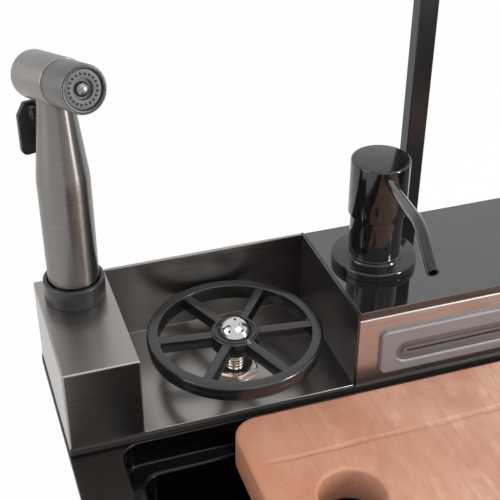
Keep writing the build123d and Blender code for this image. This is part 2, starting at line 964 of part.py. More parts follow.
def make_trigger_lever():
    """Thumb lever behind the neck, with two ears on the pin."""
    z = pivot_level()
    top = z + lever_above_pivot
    half = lever_width / 2
    outline = make_face(
        Polyline(
            (-half, top - lever_length),
            (half, top - lever_length),
            (half, top - lever_cut_height),
            (half - lever_cut_width, top),
            (-half + lever_cut_width, top),
            (-half, top - lever_cut_height),
            close=True,
        )
    )
    outline = fillet(outline.vertices().group_by(Axis.Y)[0], lever_corner)
    face_y = pivot_back + lug_radius
    plate = Pos(0, face_y, 0) * extrude(Plane.XZ * outline, -lever_sheet)
    inner = lug_width / 2 + 4 * slip
    lever = plate
    for low, high in ((inner, inner + ear_width), (-inner - ear_width, -inner)):
        lever += lug(lug_radius, low, high, face_y)
    return gun_place() * (lever - pin_rod(pin_radius + running, lever_width))


def make_trigger_pin():
    return gun_place() * pin_rod(pin_radius, lug_width + 2 * ear_width + 8 * slip)


def pin_rod(radius, length):
    """A rod along the trigger's pivot."""
    return Pos(0, pivot_back, pivot_level()) * Rot(0, 90, 0) * rod(radius, -length / 2, length / 2)


def plunger_place():
    """On the plunger's axis, with Z pointing back to the lever."""
    return Pos(0, 0, pivot_level() - plunger_below_pivot) * Rot(-90, 0, 0)


def plunger_tip():
    return pivot_back + lug_radius - apart


def make_trigger_plunger():
    """Valve plunger with a round nose, which the lever presses into the neck."""
    tip = plunger_tip()
    body = rod(plunger_radius, tip - plunger_length, tip - plunger_radius)
    return gun_place() * plunger_place() * (body + Pos(0, 0, tip - plunger_radius) * Sphere(plunger_radius))


def at_rinser(shape):
    return Pos(rinser_x, rinser_y, 0) * shape


def shank_top():
    return tray_floor + valve_shank_above


def stem_top():
    return hub_ceiling() - rinser_spring_length


def hub_ceiling():
    return tray_floor + wheel_top - hub_roof


def make_rinser_valve():
    """Valve body: threaded shank through tray and deck, and the stem that guides the wheel."""
    foot = -valve_shank_below
    valve = rod(valve_shank_radius, foot, shank_top()) + rod(stem_radius, shank_top(), stem_top())
    valve += rod(rinser_inlet_radius, foot - rinser_inlet_length, foot)
    return at_rinser(valve - rod(valve_bore, foot - rinser_inlet_length - cut, shank_top() - valve_bore))


def make_rinser_lock_nut():
    nut = hex_nut(lock_nut_flats, valve_shank_radius + slip, tray_floor, tray_floor + lock_nut_height)
    nut &= crowned(lock_nut_flats, tray_floor, tray_floor + lock_nut_height)
    return at_rinser(Rot(0, 0, lock_nut_turn) * nut)


def crowned(flats, low, high):
    """A turned envelope that takes the sharp corners off a nut's top."""
    corner = flats / sqrt(3)
    drop = (corner - flats / 2) / 2
    return turned((0, low), (corner + slip, low), (corner + slip, high - drop), (flats / 2, high), (0, high))


def make_rinser_wheel():
    """Moulded wheel that a cup presses down: grooved rim, six spokes, hub with a guide boss below."""
    top = tray_floor + wheel_top
    middle = top - rim_height / 2
    section = Pos(wheel_radius - rim_width / 2, middle) * RectangleRounded(rim_width, rim_height, rim_round)
    section -= Pos(wheel_radius, middle) * Rectangle(2 * rim_groove, rim_groove)
    wheel = revolve(Plane.XZ * section, Axis.Z)
    wheel += rod(hub_radius, top - hub_height, top)
    wheel += rod(hub_boss_radius, top - hub_boss_height, top)
    wheel += rod(hub_ring_radius, top, top + hub_ring_height)
    length = wheel_radius - rim_width / 2 - hub_radius / 2
    spoke = extrude(Plane.YZ * RectangleRounded(spoke_width, spoke_height, spoke_round), length)
    spoke_level = top - spoke_sink - spoke_height / 2
    for angle in around(spokes, spoke_first_angle):
        wheel += Rot(0, 0, angle) * Pos(hub_radius / 2, 0, spoke_level) * spoke
    wheel -= rod(hub_ring_bore, top, top + hub_ring_height + cut)
    return at_rinser(wheel - rod(stem_radius + running, top - hub_boss_height - cut, hub_ceiling()))


def make_rinser_dome():
    """Chromed spray dome on the hub, drilled with one jet on top and a ring of jets."""
    low = tray_floor + wheel_top
    ball = (dome_radius**2 + dome_height**2) / (2 * dome_height)
    dome = Pos(0, 0, low + dome_height - ball) * Sphere(ball) & rod(dome_radius + cut, low, low + ball)
    hole = rod(dome_hole_radius, low + dome_height / 3, low + dome_height + cut)
    dome -= hole
    for angle in around(dome_holes, dome_first_angle):
        dome -= Rot(0, 0, angle) * Pos(dome_hole_circle, 0, 0) * hole
    return at_rinser(dome)


def make_rinser_spring():
    """Short spring in the hub, between the stem's top and the hub's ceiling."""
    spring = coil_spring(
        "rinser_spring", rinser_coil_radius, rinser_wire, rinser_coils, stem_top(), hub_ceiling()
    )
    return at_rinser(spring)


def at_pump(shape):
    return Pos(pump_x, pump_y, 0) * shape


def shank_foot():
    return platform_top - pump_shank_length


def piston_top():
    return platform_top + pump_neck_top - guide_length


def spring_seat():
    return glass_bottom - pump_nut_height


def make_dispenser_body():
    """Flange and neck above the glass, pump chamber and threaded shank below it, turned in one piece."""
    p = platform_top
    body = turned(
        (0, shank_foot()),
        (pump_shank_radius, shank_foot()),
        (pump_shank_radius, p),
        (flange_radius, p),
        (flange_radius, p + flange_side),
        (flange_shoulder_radius, p + flange_shoulder),
        (pump_neck_radius, p + flange_height),
        (pump_neck_radius, p + pump_neck_top),
        (0, p + pump_neck_top),
    )
    neck = body.edges().filter_by_position(Axis.Z, p + flange_height - slip, p + flange_height + slip)
    body = fillet(neck, cap_edge)
    body -= rod(pump_bore, spring_seat(), p + pump_neck_top + cut)
    body -= rod(dip_bore, shank_foot() - cut, spring_seat() + cut)
    return at_pump(body)


def make_pump_guide():
    """Bush in the top of the neck that the stem slides and turns in."""
    neck_top = platform_top + pump_neck_top
    bush = tube(pump_bore - slip, pump_stem_radius + running, neck_top - guide_length, neck_top)
    bush += tube(pump_neck_radius - cut, pump_stem_radius + running, neck_top, neck_top + guide_rim)
    return at_pump(bush)


def make_pump_stem():
    """Stem with the piston on its foot, pushed into the cap's roof."""
    top = platform_top + cap_top - cap_roof
    stem = rod(pump_stem_radius, piston_top() - piston_height, top)
    stem += rod(pump_bore - running, piston_top() - piston_height, piston_top() - apart)
    return at_pump(stem)


def make_pump_spring():
    high = piston_top() - piston_height
    return at_pump(coil_spring("pump_spring", pump_coil_radius, pump_wire, pump_coils, spring_seat(), high))


def make_pump_cap():
    """Tall pressed cap over the neck."""
    p = platform_top
    inside = pump_neck_radius + apart
    cap = turned(
        (inside, p + cap_bottom),
        (cap_radius, p + cap_bottom),
        (cap_radius, p + cap_top),
        (0, p + cap_top),
        (0, p + cap_top - cap_roof),
        (inside, p + cap_top - cap_roof),
    )
    rim = cap.edges().group_by(Axis.Z)[-1]
    cap = fillet(rim, cap_edge)
    return at_pump(cap - spout_solid(spout_start_radius + slip, spout_radius + slip))


def spout_points():
    """The spout's line from the cap's axis, in the plane of its reach (Y forwards is negative)."""
    top = platform_top + cap_top
    exit_y = inside_cap()
    start = (0, -exit_y, top - spout_exit_drop)
    elbow = (0, -spout_elbow_reach, top + spout_elbow_rise)
    tip = (0, -spout_tip_reach, top - spout_tip_drop)
    return Vector(start), Vector(elbow), Vector(tip)


def inside_cap():
    return pump_neck_radius + apart


def spout_solid(first_radius, last_radius):
    """A tube that rises and swells from the cap to its bend, then dips to its tip."""
    start, elbow, tip = spout_points()
    path = FilletPolyline(start, elbow, tip, radius=spout_bend)
    run, bend, fall = path.edges()
    cone = loft([section_at(run, 0, first_radius), section_at(run, 1, last_radius)])
    curve = sweep(section_at(bend, 0, last_radius), bend)
    drop = sweep(section_at(fall, 0, last_radius), fall)
    return Rot(0, 0, pump_turn) * (cone + curve + drop)


def section_at(edge, where, radius):
    return Plane(origin=edge @ where, z_dir=edge % where) * Circle(radius)


def make_pump_spout():
    outer = spout_solid(spout_start_radius, spout_radius)
    start, elbow, tip = spout_points()
    bore = FilletPolyline(start, elbow, tip, radius=spout_bend)
    fall = bore.edges()[2]
    mouth = Rot(0, 0, pump_turn) * sweep(section_at(fall, 0, spout_bore), fall)
    neck_room = rod(inside_cap(), platform_top + cap_bottom, platform_top + cap_top)
    return at_pump(outer - mouth - neck_room)


def make_soap_bottle():
    """Bottle screwed on the shank's foot, under the deck."""
    inside = pump_shank_radius + slip
    top = shank_foot() + bottle_neck_length
    neck = shank_foot() - bottle_wall
    wide = neck - bottle_shoulder
    foot = top - bottle_length
    wall = bottle_wall
    bottle = turned(
        (0, foot),
        (bottle_radius, foot),
        (bottle_radius, wide),
        (bottle_neck_radius, neck),
        (bottle_neck_radius, top),
        (inside, top),
        (inside, neck),
        (bottle_radius - wall, wide),
        (bottle_radius - wall, foot + wall),
        (0, foot + wall),
    )
    return at_pump(bottle)


def make_dip_tube():
    foot = shank_foot() + bottle_neck_length - bottle_length + bottle_wall + dip_clear_floor
    return at_pump(tube(dip_radius, dip_bore, foot, shank_foot()))


def at_drain(shape):
    return Pos(drain_x, drain_y, 0) * shape


def dish_level():
    return bowl_floor - drain_dish_depth


def throat_radius():
    return drain_hole_radius - loose


def basket_radius():
    return throat_radius() - drain_throat_wall - apart


def make_drain_flange():
    """Polished flange in the bowl's dish, with a threaded throat and an inner lip for the basket."""
    seat = dish_level()
    top = seat + drain_flange_sheet
    inside = throat_radius() - drain_throat_wall
    flange = turned(
        (inside, seat - drain_throat_length),
        (throat_radius(), seat - drain_throat_length),
        (throat_radius(), seat),
        (drain_flange_radius, seat),
        (drain_flange_radius - drain_flange_sheet, top),
        (inside, top - drain_flange_sheet / 2),
        (inside, seat - drain_lip),
        (inside - drain_lip, seat - drain_lip),
        (inside - drain_lip, seat - drain_lip - drain_throat_wall),
        (inside, seat - drain_lip - drain_throat_wall),
    )
    return at_drain(flange)


def gasket_foot():
    return dish_level() - bowl_sheet - drain_gasket_sheet


def make_drain_gasket():
    return at_drain(tube(drain_flange_radius, drain_hole_radius, gasket_foot(), dish_level() - bowl_sheet))


def body_foot():
    return gasket_foot() - drain_body_length


def make_drain_body():
    """Waste body clamped under the bowl, with the outlet below and the overflow's port behind."""
    inside = throat_radius() + slip
    outside = inside + drain_body_wall
    out_in = tail_pipe_radius - tail_pipe_step + slip
    out_wall = out_in + drain_body_wall
    top = gasket_foot()
    foot = body_foot()
    body = turned(
        (out_in, foot - drain_outlet_length),
        (out_wall, foot - drain_outlet_length),
        (out_wall, foot),
        (outside, foot + out_wall / 2),
        (outside, top - drain_body_flange),
        (drain_flange_radius, top - drain_body_flange),
        (drain_flange_radius, top),
        (inside, top),
        (inside, foot + out_wall / 2 + drain_body_wall),
        (out_in, foot + drain_body_wall),
    )
    port_end = outside + overflow_port_length
    port = port_place() * rod(port_radius(), inside, port_end)
    hole = port_place() * rod(overflow_pipe_radius + slip, inside - drain_body_wall, port_end + cut)
    return at_drain(body + port - hole)


def port_radius():
    return overflow_pipe_radius + slip + overflow_port_wall


def port_level():
    return gasket_foot() - overflow_port_drop


def port_place():
    """On the drain body's side, with Z pointing to the back."""
    return Pos(0, 0, port_level()) * Rot(-90, 0, 0)


def make_tail_pipe():
    """Tail of the waste that the trap is pushed on."""
    step = body_foot() - drain_outlet_length
    inside = tail_pipe_radius - tail_pipe_wall
    pipe = tube(tail_pipe_radius, inside, step - tail_pipe_length, step)
    return at_drain(pipe + tube(tail_pipe_radius - tail_pipe_step, inside, step, step + tail_pipe_entry))


def make_strainer_basket():
    """Lift-out basket with a drilled floor and a knob on a post."""
    seat = dish_level() - drain_lip
    wide = basket_radius() - drain_lip - apart
    floor = seat - basket_depth
    wall = basket_wall
    basket = turned(
        (0, floor),
        (basket_floor_radius, floor),
        (wide, seat),
        (basket_radius(), seat),
        (basket_radius(), seat + basket_rim),
        (wide - wall, seat + basket_rim),
        (basket_floor_radius - wall, floor + wall),
        (basket_post_radius, floor + wall),
        (basket_post_radius, floor + basket_post_height),
        (basket_knob_radius, floor + basket_post_height),
        (basket_knob_radius, floor + basket_post_height + basket_knob_height),
        (0, floor + basket_post_height + basket_knob_height),
    )
    for angle in around(basket_holes):
        hole = Pos(basket_hole_circle, 0, 0) * rod(basket_hole_radius, floor - cut, floor + wall + cut)
        basket -= Rot(0, 0, angle) * hole
    return at_drain(basket)


def make_overflow_cover():
    """Slotted cover inside the bowl, with a spigot through the wall."""
    cover = rod(overflow_cover_radius, -overflow_cover_sheet, 0)
    cover += rod(overflow_hole_radius - slip, 0, bowl_sheet)
    for i in range(overflow_slots):
        up = (i - (overflow_slots - 1) / 2) * overflow_slot_pitch
        chord = 2 * sqrt(overflow_hole_radius**2 - up**2)
        length = min(overflow_slot_length, chord - 2 * overflow_slot_height)
        slot = extrude(SlotOverall(length, overflow_slot_height), overflow_cover_sheet + bowl_sheet + 2 * cut)
        cover -= Pos(0, up, -overflow_cover_sheet - cut) * slot
    return overflow_place() * cover


def overflow_route():
    """From the bowl's wall back, down behind it and forwards to the drain body."""
    wall = bowl_y + well_depth / 2 + bowl_sheet
    back = wall + overflow_pipe_back
    end = drain_y + throat_radius() + slip + drain_body_wall
    points = [
        (drain_x, wall, -overflow_below_seat),
        (drain_x, back, -overflow_below_seat),
        (drain_x, back, port_level()),
        (drain_x, end, port_level()),
    ]
    return FilletPolyline(*points, radius=overflow_bend)


def make_overflow_pipe():
    """Rigid pipe with a flange on the bowl's wall."""
    path = overflow_route()
    section = Plane(origin=path @ 0, z_dir=path % 0)
    pipe = sweep(section * Circle(overflow_pipe_radius), path)
    flange = Pos(0, 0, bowl_sheet) * rod(overflow_flange_radius, 0, overflow_flange_sheet)
    pipe += overflow_place() * flange
    return pipe - sweep(section * Circle(overflow_pipe_radius - overflow_pipe_wall), path)


def at_tap(shape):
    return Pos(tap_x, tap_y, 0) * shape


def bar_outline(width, depth):
    return RectangleRounded(width, depth, tap_corner)


def make_tap_base():
    """Foot on the rear ledge, with a hollow stud through the deck."""
    foot = slab(tap_base_width, tap_base_depth, deck_top, deck_top + tap_base_height, tap_base_corner)
    socket = bar_outline(tap_width + 2 * slip, tap_bar_depth + 2 * slip)
    foot -= Pos(0, 0, deck_top) * extrude(socket, tap_base_height + cut)
    step = deck_bottom - tap_stud_length
    foot += rod(tap_stud_radius, step, deck_top) + rod(tap_inlet_radius, step - tap_inlet_length, step)
    return at_tap(foot - rod(tap_bore, step - tap_inlet_length - cut, deck_top + cut))


def make_back_nuts():
    """Nuts that hold the rinser's valve, the tap, the dispenser and the gun's collar from below."""
    rinser = hex_nut(back_nut_flats, valve_shank_radius + slip, deck_bottom - back_nut_height, deck_bottom)
    tap = hex_nut(tap_nut_flats, tap_stud_radius + slip, deck_bottom - tap_nut_height, deck_bottom)
    pump = hex_nut(pump_nut_flats, pump_shank_radius + slip, glass_bottom - pump_nut_height, glass_bottom)
    roof = platform_top - housing_sheet
    collar = hex_nut(collar_nut_flats, collar_spigot_radius + slip, roof - collar_nut_height, roof)
    return [at_rinser(rinser), at_tap(tap), at_pump(pump), Pos(gun_x, gun_y, 0) * collar]


def tap_column_top():
    return deck_top + tap_column_height


def make_tap_column():
    """Slim square bar, bored for the water."""
    bar = Pos(0, 0, deck_top) * extrude(bar_outline(tap_width, tap_bar_depth), tap_column_height)
    return at_tap(bar - rod(tap_bore, deck_top - cut, tap_column_top() + cut))


def make_tap_spout():
    """Square arm that turns on the column by a round spigot."""
    low = tap_column_top() + tap_spout_gap
    arm = block(-tap_width / 2, tap_width / 2, -tap_reach, tap_bar_depth / 2, low, low + tap_bar_depth)
    arm = fillet(arm.edges().filter_by(Axis.Y), tap_corner)
    return at_tap(arm + rod(tap_bore - running, tap_column_top() - tap_spigot_length, low))


def aerator_y():
    return -tap_reach + tap_width / 2 + tap_corner


def make_tap_aerator():
    high = tap_column_top() + tap_spout_gap
    ring = rod(aerator_radius, high - aerator_height, high)
    ring -= rod(aerator_bore, high - aerator_height - cut, high - aerator_height / 2)
    return at_tap(Pos(0, aerator_y(), 0) * ring)


def at_mixer(shape):
    return Pos(mixer_x, mixer_y, 0) * shape


def make_mixer_cartridge():
    """Mixing cartridge under the glass, with its manifold and the two inlets."""
    foot = platform_top - cartridge_length
    valve = rod(cartridge_radius, foot, platform_top)
    valve += rod(cartridge_collar_radius, glass_bottom - cartridge_collar_height, glass_bottom)
    valve += rod(spindle_radius, platform_top, platform_top + spindle_length)
    valve += slab(manifold_width, manifold_depth, foot - manifold_height, foot, key_corner)
    for side in (-1, 1):
        inlet = rod(inlet_radius, foot - manifold_height - inlet_length, foot - manifold_height)
        valve += Pos(side * inlet_spacing / 2, 0, 0) * inlet
    return at_mixer(valve)


def make_mixer_knob():
    low = platform_top + knob_gap
    knob = rod(knob_radius, low, low + knob_height)
    knob = fillet(knob.edges().group_by(Axis.Z)[-1], knob_edge)
    return at_mixer(knob - rod(spindle_radius + running, low - cut, platform_top + spindle_length + apart))


def frame_outline():
    """Outside of the key frame's walls: two keys side by side and the gaps round them."""
    width = 2 * key_width + 3 * key_gap + 2 * frame_wall
    depth = key_depth + 2 * key_gap + 2 * frame_wall
    return width, depth


def at_keys(shape):
    return Pos(keys_x, keys_y, 0) * shape


def frame_foot():
    return glass_bottom - frame_drop


def make_key_frame():
    """Bezel on the glass with walls that reach down to the valve block."""
    width, depth = frame_outline()
    corner = key_corner + frame_wall
    top = platform_top + frame_rim_sheet
    frame = slab(width, depth, frame_foot(), platform_top, corner)
    frame += slab(width + 2 * frame_rim, depth + 2 * frame_rim, platform_top, top, corner + frame_rim)
    room = slab(width - 2 * frame_wall, depth - 2 * frame_wall, frame_foot() - cut, top + cut, key_corner)
    return at_keys(frame - room)


def key_offset(side):
    return side * (key_width + key_gap) / 2


def make_key(side):
    """One push key with its stem."""
    top = platform_top + frame_rim_sheet + key_proud
    low = top - key_height
    key = slab(key_width, key_depth, low, top, key_corner)
    key = fillet(key.edges().group_by(Axis.Z)[-1], key_corner / 2)
    key += rod(key_stem_radius, low - key_stem_length, low)
    return at_keys(Pos(key_offset(side), 0, 0) * key)


def make_key_valve_block():
    """Diverter valves under the keys."""
    width, depth = frame_outline()
    top = frame_foot()
    valve = slab(width, depth, top - valve_block_height, top, key_corner)
    stem_foot = platform_top + frame_rim_sheet + key_proud - key_height - key_stem_length
    for side in (-1, 1):
        way = rod(key_stem_radius + running, stem_foot - key_travel - apart, top + cut)
        valve -= Pos(key_offset(side), 0, 0) * way
    return at_keys(valve)


def make_chopping_board():
    """Solid wood board on the bowl's ledge, with a finger hole."""
    left = -bowl_width / 2 + board_from_bowl_left
    depth = bowl_depth - board_front_room - board_rear_room
    middle_y = bowl_y + (board_front_room - board_rear_room) / 2
    board = slab(board_width, depth, ledge_top, ledge_top + board_thickness, board_corner)
    hole = rod(finger_hole_radius, ledge_top - cut, ledge_top + board_thickness + cut)
    board -= Pos(finger_hole_from_left - board_width / 2, depth / 2 - finger_hole_from_rear, 0) * hole
    board = fillet(board.edges().group_by(Axis.Z)[-1] + board.edges().group_by(Axis.Z)[0], board_edge)
    return Pos(left + board_width / 2, middle_y, 0) * board


pieces = {
    "deck_frame": make_deck(),
    "rim_gasket": make_rim_gasket(),
    "bowl": make_bowl(),
    "bowl_floor": make_bowl_floor(),
    "sound_pads": make_sound_pads(),
    "clip_rails": make_clip_rails(),
    "mounting_clips": make_mounting_clips(),
    "clip_screws": make_clip_screws(),
    "platform_base": make_platform_base(),
    "gun_housing": make_gun_housing(),
    "rinser_tray": make_rinser_tray(),
    "console_front": make_console_front(),
    "console_rear": console_panel(platform_rear, -1),
    "console_sides": make_console_sides(),
    "glass_top": make_glass_top(),
    "outlet_plate": make_outlet_plate(),
    "waterfall_nozzle": make_waterfall_nozzle(),
    "waterfall_box": make_waterfall_box(),
    "gun_collar": make_gun_collar(),
    "gun_body": make_gun_body(),
    "gun_sleeve": make_gun_sleeve(),
    "gun_spray_face": make_gun_spray_face(),
    "gun_face_ring": make_gun_face_ring(),
    "gun_centre_jet": make_gun_centre_jet(),
    "gun_hose_tail": make_gun_hose_tail(),
    "trigger_lever": make_trigger_lever(),
    "trigger_pin": make_trigger_pin(),
    "trigger_plunger": make_trigger_plunger(),
    "rinser_valve": make_rinser_valve(),
    "rinser_lock_nut": make_rinser_lock_nut(),
    "back_nuts": make_back_nuts(),
    "rinser_wheel": make_rinser_wheel(),
    "rinser_dome": make_rinser_dome(),
    "rinser_spring": make_rinser_spring(),
    "dispenser_body": make_dispenser_body(),
    "pump_guide": make_pump_guide(),
    "pump_stem": make_pump_stem(),
    "pump_spring": make_pump_spring(),
    "pump_cap": make_pump_cap(),
    "pump_spout": make_pump_spout(),
    "soap_bottle": make_soap_bottle(),
    "dip_tube": make_dip_tube(),
    "drain_flange": make_drain_flange(),
    "drain_gasket": make_drain_gasket(),
    "drain_body": make_drain_body(),
    "tail_pipe": make_tail_pipe(),
    "strainer_basket": make_strainer_basket(),
    "overflow_cover": make_overflow_cover(),
    "overflow_pipe": make_overflow_pipe(),
    "tap_base": make_tap_base(),
    "tap_column": make_tap_column(),
    "tap_spout": make_tap_spout(),
    "tap_aerator": make_tap_aerator(),
    "mixer_cartridge": make_mixer_cartridge(),
    "mixer_knob": make_mixer_knob(),
    "key_frame": make_key_frame(),
    "key_valve_block": make_key_valve_block(),
    "tap_key": make_key(-1),
    "waterfall_key": make_key(1),
    "chopping_board": make_chopping_board(),
}

os.makedirs("parts", exist_ok=True)
for node, shape in pieces.items():
    solids = shape if isinstance(shape, list) else [shape]
    export_step(Compound(children=[s for piece in solids for s in piece.solids()]), f"parts/{node}.step")
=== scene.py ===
from math import cos, pi, radians, sin, sqrt, tan

import bmesh
import bpy
from mathutils import Matrix, Vector


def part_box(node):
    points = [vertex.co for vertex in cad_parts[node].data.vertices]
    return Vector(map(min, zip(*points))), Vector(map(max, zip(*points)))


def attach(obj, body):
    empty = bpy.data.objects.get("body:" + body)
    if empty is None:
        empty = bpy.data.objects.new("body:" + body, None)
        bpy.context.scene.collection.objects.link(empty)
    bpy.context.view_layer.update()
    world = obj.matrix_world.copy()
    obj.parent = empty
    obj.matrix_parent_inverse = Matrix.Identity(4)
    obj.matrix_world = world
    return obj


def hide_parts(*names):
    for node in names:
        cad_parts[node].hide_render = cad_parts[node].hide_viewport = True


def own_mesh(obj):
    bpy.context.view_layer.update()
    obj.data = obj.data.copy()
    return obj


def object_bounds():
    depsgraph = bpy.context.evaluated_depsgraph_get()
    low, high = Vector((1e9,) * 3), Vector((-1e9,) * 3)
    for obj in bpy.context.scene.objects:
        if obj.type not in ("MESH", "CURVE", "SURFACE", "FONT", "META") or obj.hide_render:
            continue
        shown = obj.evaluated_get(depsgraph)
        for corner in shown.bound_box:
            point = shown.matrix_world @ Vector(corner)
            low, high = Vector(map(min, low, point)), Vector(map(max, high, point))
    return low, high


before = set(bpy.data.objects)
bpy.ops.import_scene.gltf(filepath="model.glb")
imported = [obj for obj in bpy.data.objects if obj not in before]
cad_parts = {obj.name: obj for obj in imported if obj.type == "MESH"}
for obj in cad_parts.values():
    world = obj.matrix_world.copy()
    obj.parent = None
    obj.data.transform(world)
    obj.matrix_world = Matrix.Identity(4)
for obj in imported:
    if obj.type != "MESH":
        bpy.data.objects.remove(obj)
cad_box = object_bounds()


# The view: a camera above the front left corner that looks back and down at the service platform.
# Its place and lens were solved from the platform's straight edges; lengths here are in metres.
def in_scene(name, data):
    """An object at the origin, linked into the scene."""
    made = bpy.data.objects.new(name, data)
    bpy.context.scene.collection.objects.link(made)
    return made


eye = Vector((-0.42011, -0.32367, 0.42898))
to_the_right = Vector((0.94706, -0.32102, 0.00434))
downwards = Vector((-0.17448, -0.52598, -0.83241))
ahead = Vector((0.26951, 0.78758, -0.55415))
focal_pixels = 1069.65
image_pixels = 500
lens = bpy.data.cameras.new("view")
lens.sensor_width = 36.0
lens.lens = lens.sensor_width * focal_pixels / image_pixels
lens.clip_start = 0.01
view = in_scene("view", lens)
facing = Matrix((to_the_right, -downwards, -ahead)).transposed().to_4x4()
view.matrix_world = Matrix.Translation(eye) @ facing
bpy.context.scene.camera = view
bpy.context.scene.view_settings.view_transform = "Standard"


# The studio: a white floor under the sink, an even pale sky, and three soft lamps:
# a large one above the front, one at the left and a narrow strip at the front right.
def feed(tree, socket, value):
    """Sets a node's socket to a number, or links another node's output to it."""
    if isinstance(value, (int, float)):
        socket.default_value = value
    else:
        tree.links.new(value, socket)


def worked_out(tree, operation, *values):
    """A sum in a node tree, from numbers and other nodes' outputs."""
    node = tree.nodes.new("ShaderNodeMath")
    node.operation = operation
    for socket, value in zip(node.inputs, values):
        feed(tree, socket, value)
    return node.outputs[0]


def soft_lamp(name, place, target, width, depth, power):
    """A rectangular lamp turned towards a target, in metres and watts."""
    lamp = bpy.data.lights.new(name, "AREA")
    lamp.shape = "RECTANGLE"
    lamp.size = width
    lamp.size_y = depth
    lamp.energy = power
    holder = in_scene(name, lamp)
    holder.location = place
    holder.rotation_euler = (Vector(target) - Vector(place)).to_track_quat("-Z", "Y").to_euler()


floor_gap = 0.001
floor_reach = 12.0
floor_level = cad_box[0][2] - floor_gap
sides = (-floor_reach, floor_reach)
floor_mesh = bpy.data.meshes.new("studio_floor")
floor_mesh.from_pydata([(x, y, floor_level) for x in sides for y in sides], [], [(0, 2, 3, 1)])
floor = in_scene("studio_floor", floor_mesh)

white_seen = 0.9
floor_paint = bpy.data.materials.new("studio_floor")
floor_paint.use_nodes = True
tree = floor_paint.node_tree
paint = tree.nodes["Principled BSDF"]
paint.inputs["Base Color"].default_value = (0.86, 0.86, 0.86, 1)
paint.inputs["Roughness"].default_value = 0.9
paint.inputs["Specular IOR Level"].default_value = 0.1
glow = tree.nodes.new("ShaderNodeEmission")
ray = tree.nodes.new("ShaderNodeLightPath").outputs
blend = tree.nodes.new("ShaderNodeMixShader")
seen = worked_out(tree, "MAXIMUM", ray["Is Camera Ray"], ray["Is Glossy Ray"])
seen = worked_out(tree, "MAXIMUM", seen, ray["Is Transmission Ray"])
feed(tree, blend.inputs["Fac"], worked_out(tree, "MULTIPLY", seen, white_seen))
feed(tree, blend.inputs[1], paint.outputs["BSDF"])
feed(tree, blend.inputs[2], glow.outputs["Emission"])
feed(tree, tree.nodes["Material Output"].inputs["Surface"], blend.outputs["Shader"])
floor_mesh.materials.append(floor_paint)

sky = bpy.data.worlds.new("studio_sky")
bpy.context.scene.world = sky
sky.use_nodes = True
sky.node_tree.nodes["Background"].inputs["Color"].default_value = (0.94, 0.94, 0.94, 1)
soft_lamp("lamp_above", (0.3, -0.9, 1.9), (-0.1, 0.0, 0.0), width=1.6, depth=1.2, power=8.0)
soft_lamp("lamp_left", (-2.0, 0.1, 0.9), (-0.2, 0.1, 0.1), width=1.2, depth=1.4, power=12.0)
soft_lamp("lamp_strip", (0.8, -0.82, 0.38), (-0.35, 0.19, 0.2), width=0.18, depth=0.7, power=14.0)


# The deck: one pressed sheet of stainless steel with a dark coating, brushed along its length.
# A foam strip is glued under its rim, and folded strips of plain steel are welded on for the clips.
def coat(name, colour, metallic, rough):
    """A finish with one shader; the functions below add its patterns."""
    made = bpy.data.materials.new(name)
    made.use_nodes = True
    shader = shader_of(made)
    shader.inputs["Base Color"].default_value = (*colour, 1)
    shader.inputs["Metallic"].default_value = metallic
    shader.inputs["Roughness"].default_value = rough
    return made


def shader_of(made):
    return made.node_tree.nodes["Principled BSDF"]


def grain(made, per_metre, stretch=(1, 1, 1), detail=3.0):
    """Noise in the piece's own coordinates, drawn out along the axes with a small stretch."""
    tree = made.node_tree
    place = tree.nodes.new("ShaderNodeTexCoord")
    drawing = tree.nodes.new("ShaderNodeMapping")
    drawing.inputs["Scale"].default_value = stretch
    noise = tree.nodes.new("ShaderNodeTexNoise")
    noise.inputs["Scale"].default_value = per_metre
    noise.inputs["Detail"].default_value = detail
    tree.links.new(place.outputs["Object"], drawing.inputs["Vector"])
    tree.links.new(drawing.outputs["Vector"], noise.inputs["Vector"])
    return noise.outputs["Fac"]


def tint(made, pattern, dark, light, start=0.3, end=0.7):
    """Colour from dark to light by a pattern."""
    ramp = made.node_tree.nodes.new("ShaderNodeValToRGB")
    for stop, position, colour in zip(ramp.color_ramp.elements, (start, end), (dark, light)):
        stop.position = position
        stop.color = (*colour, 1)
    made.node_tree.links.new(pattern, ramp.inputs["Fac"])
    made.node_tree.links.new(ramp.outputs["Color"], shader_of(made).inputs["Base Color"])
    return ramp.outputs["Color"]


def polish(made, pattern, smooth, rough):
    """Roughness between two values by a pattern."""
    spread = made.node_tree.nodes.new("ShaderNodeMapRange")
    spread.inputs["From Min"].default_value = 0.3
    spread.inputs["From Max"].default_value = 0.7
    spread.inputs["To Min"].default_value = smooth
    spread.inputs["To Max"].default_value = rough
    made.node_tree.links.new(pattern, spread.inputs["Value"])
    made.node_tree.links.new(spread.outputs["Result"], shader_of(made).inputs["Roughness"])


def relief(made, pattern, strength, height):
    """Fine bumps from a pattern; height is in metres."""
    bump = made.node_tree.nodes.new("ShaderNodeBump")
    bump.inputs["Strength"].default_value = strength
    bump.inputs["Distance"].default_value = height
    made.node_tree.links.new(pattern, bump.inputs["Height"])
    made.node_tree.links.new(bump.outputs["Normal"], shader_of(made).inputs["Normal"])


def brushed(name, dark, light, smooth, rough, stretch, metallic=1.0, strength=0.02):
    """Metal with brushing lines along the axes with a small stretch."""
    made = coat(name, light, metallic, rough)
    lines = grain(made, 2600.0, stretch, 4.0)
    tint(made, lines, dark, light)
    polish(made, lines, smooth, rough)
    relief(made, lines, strength, 0.00008)
    return made


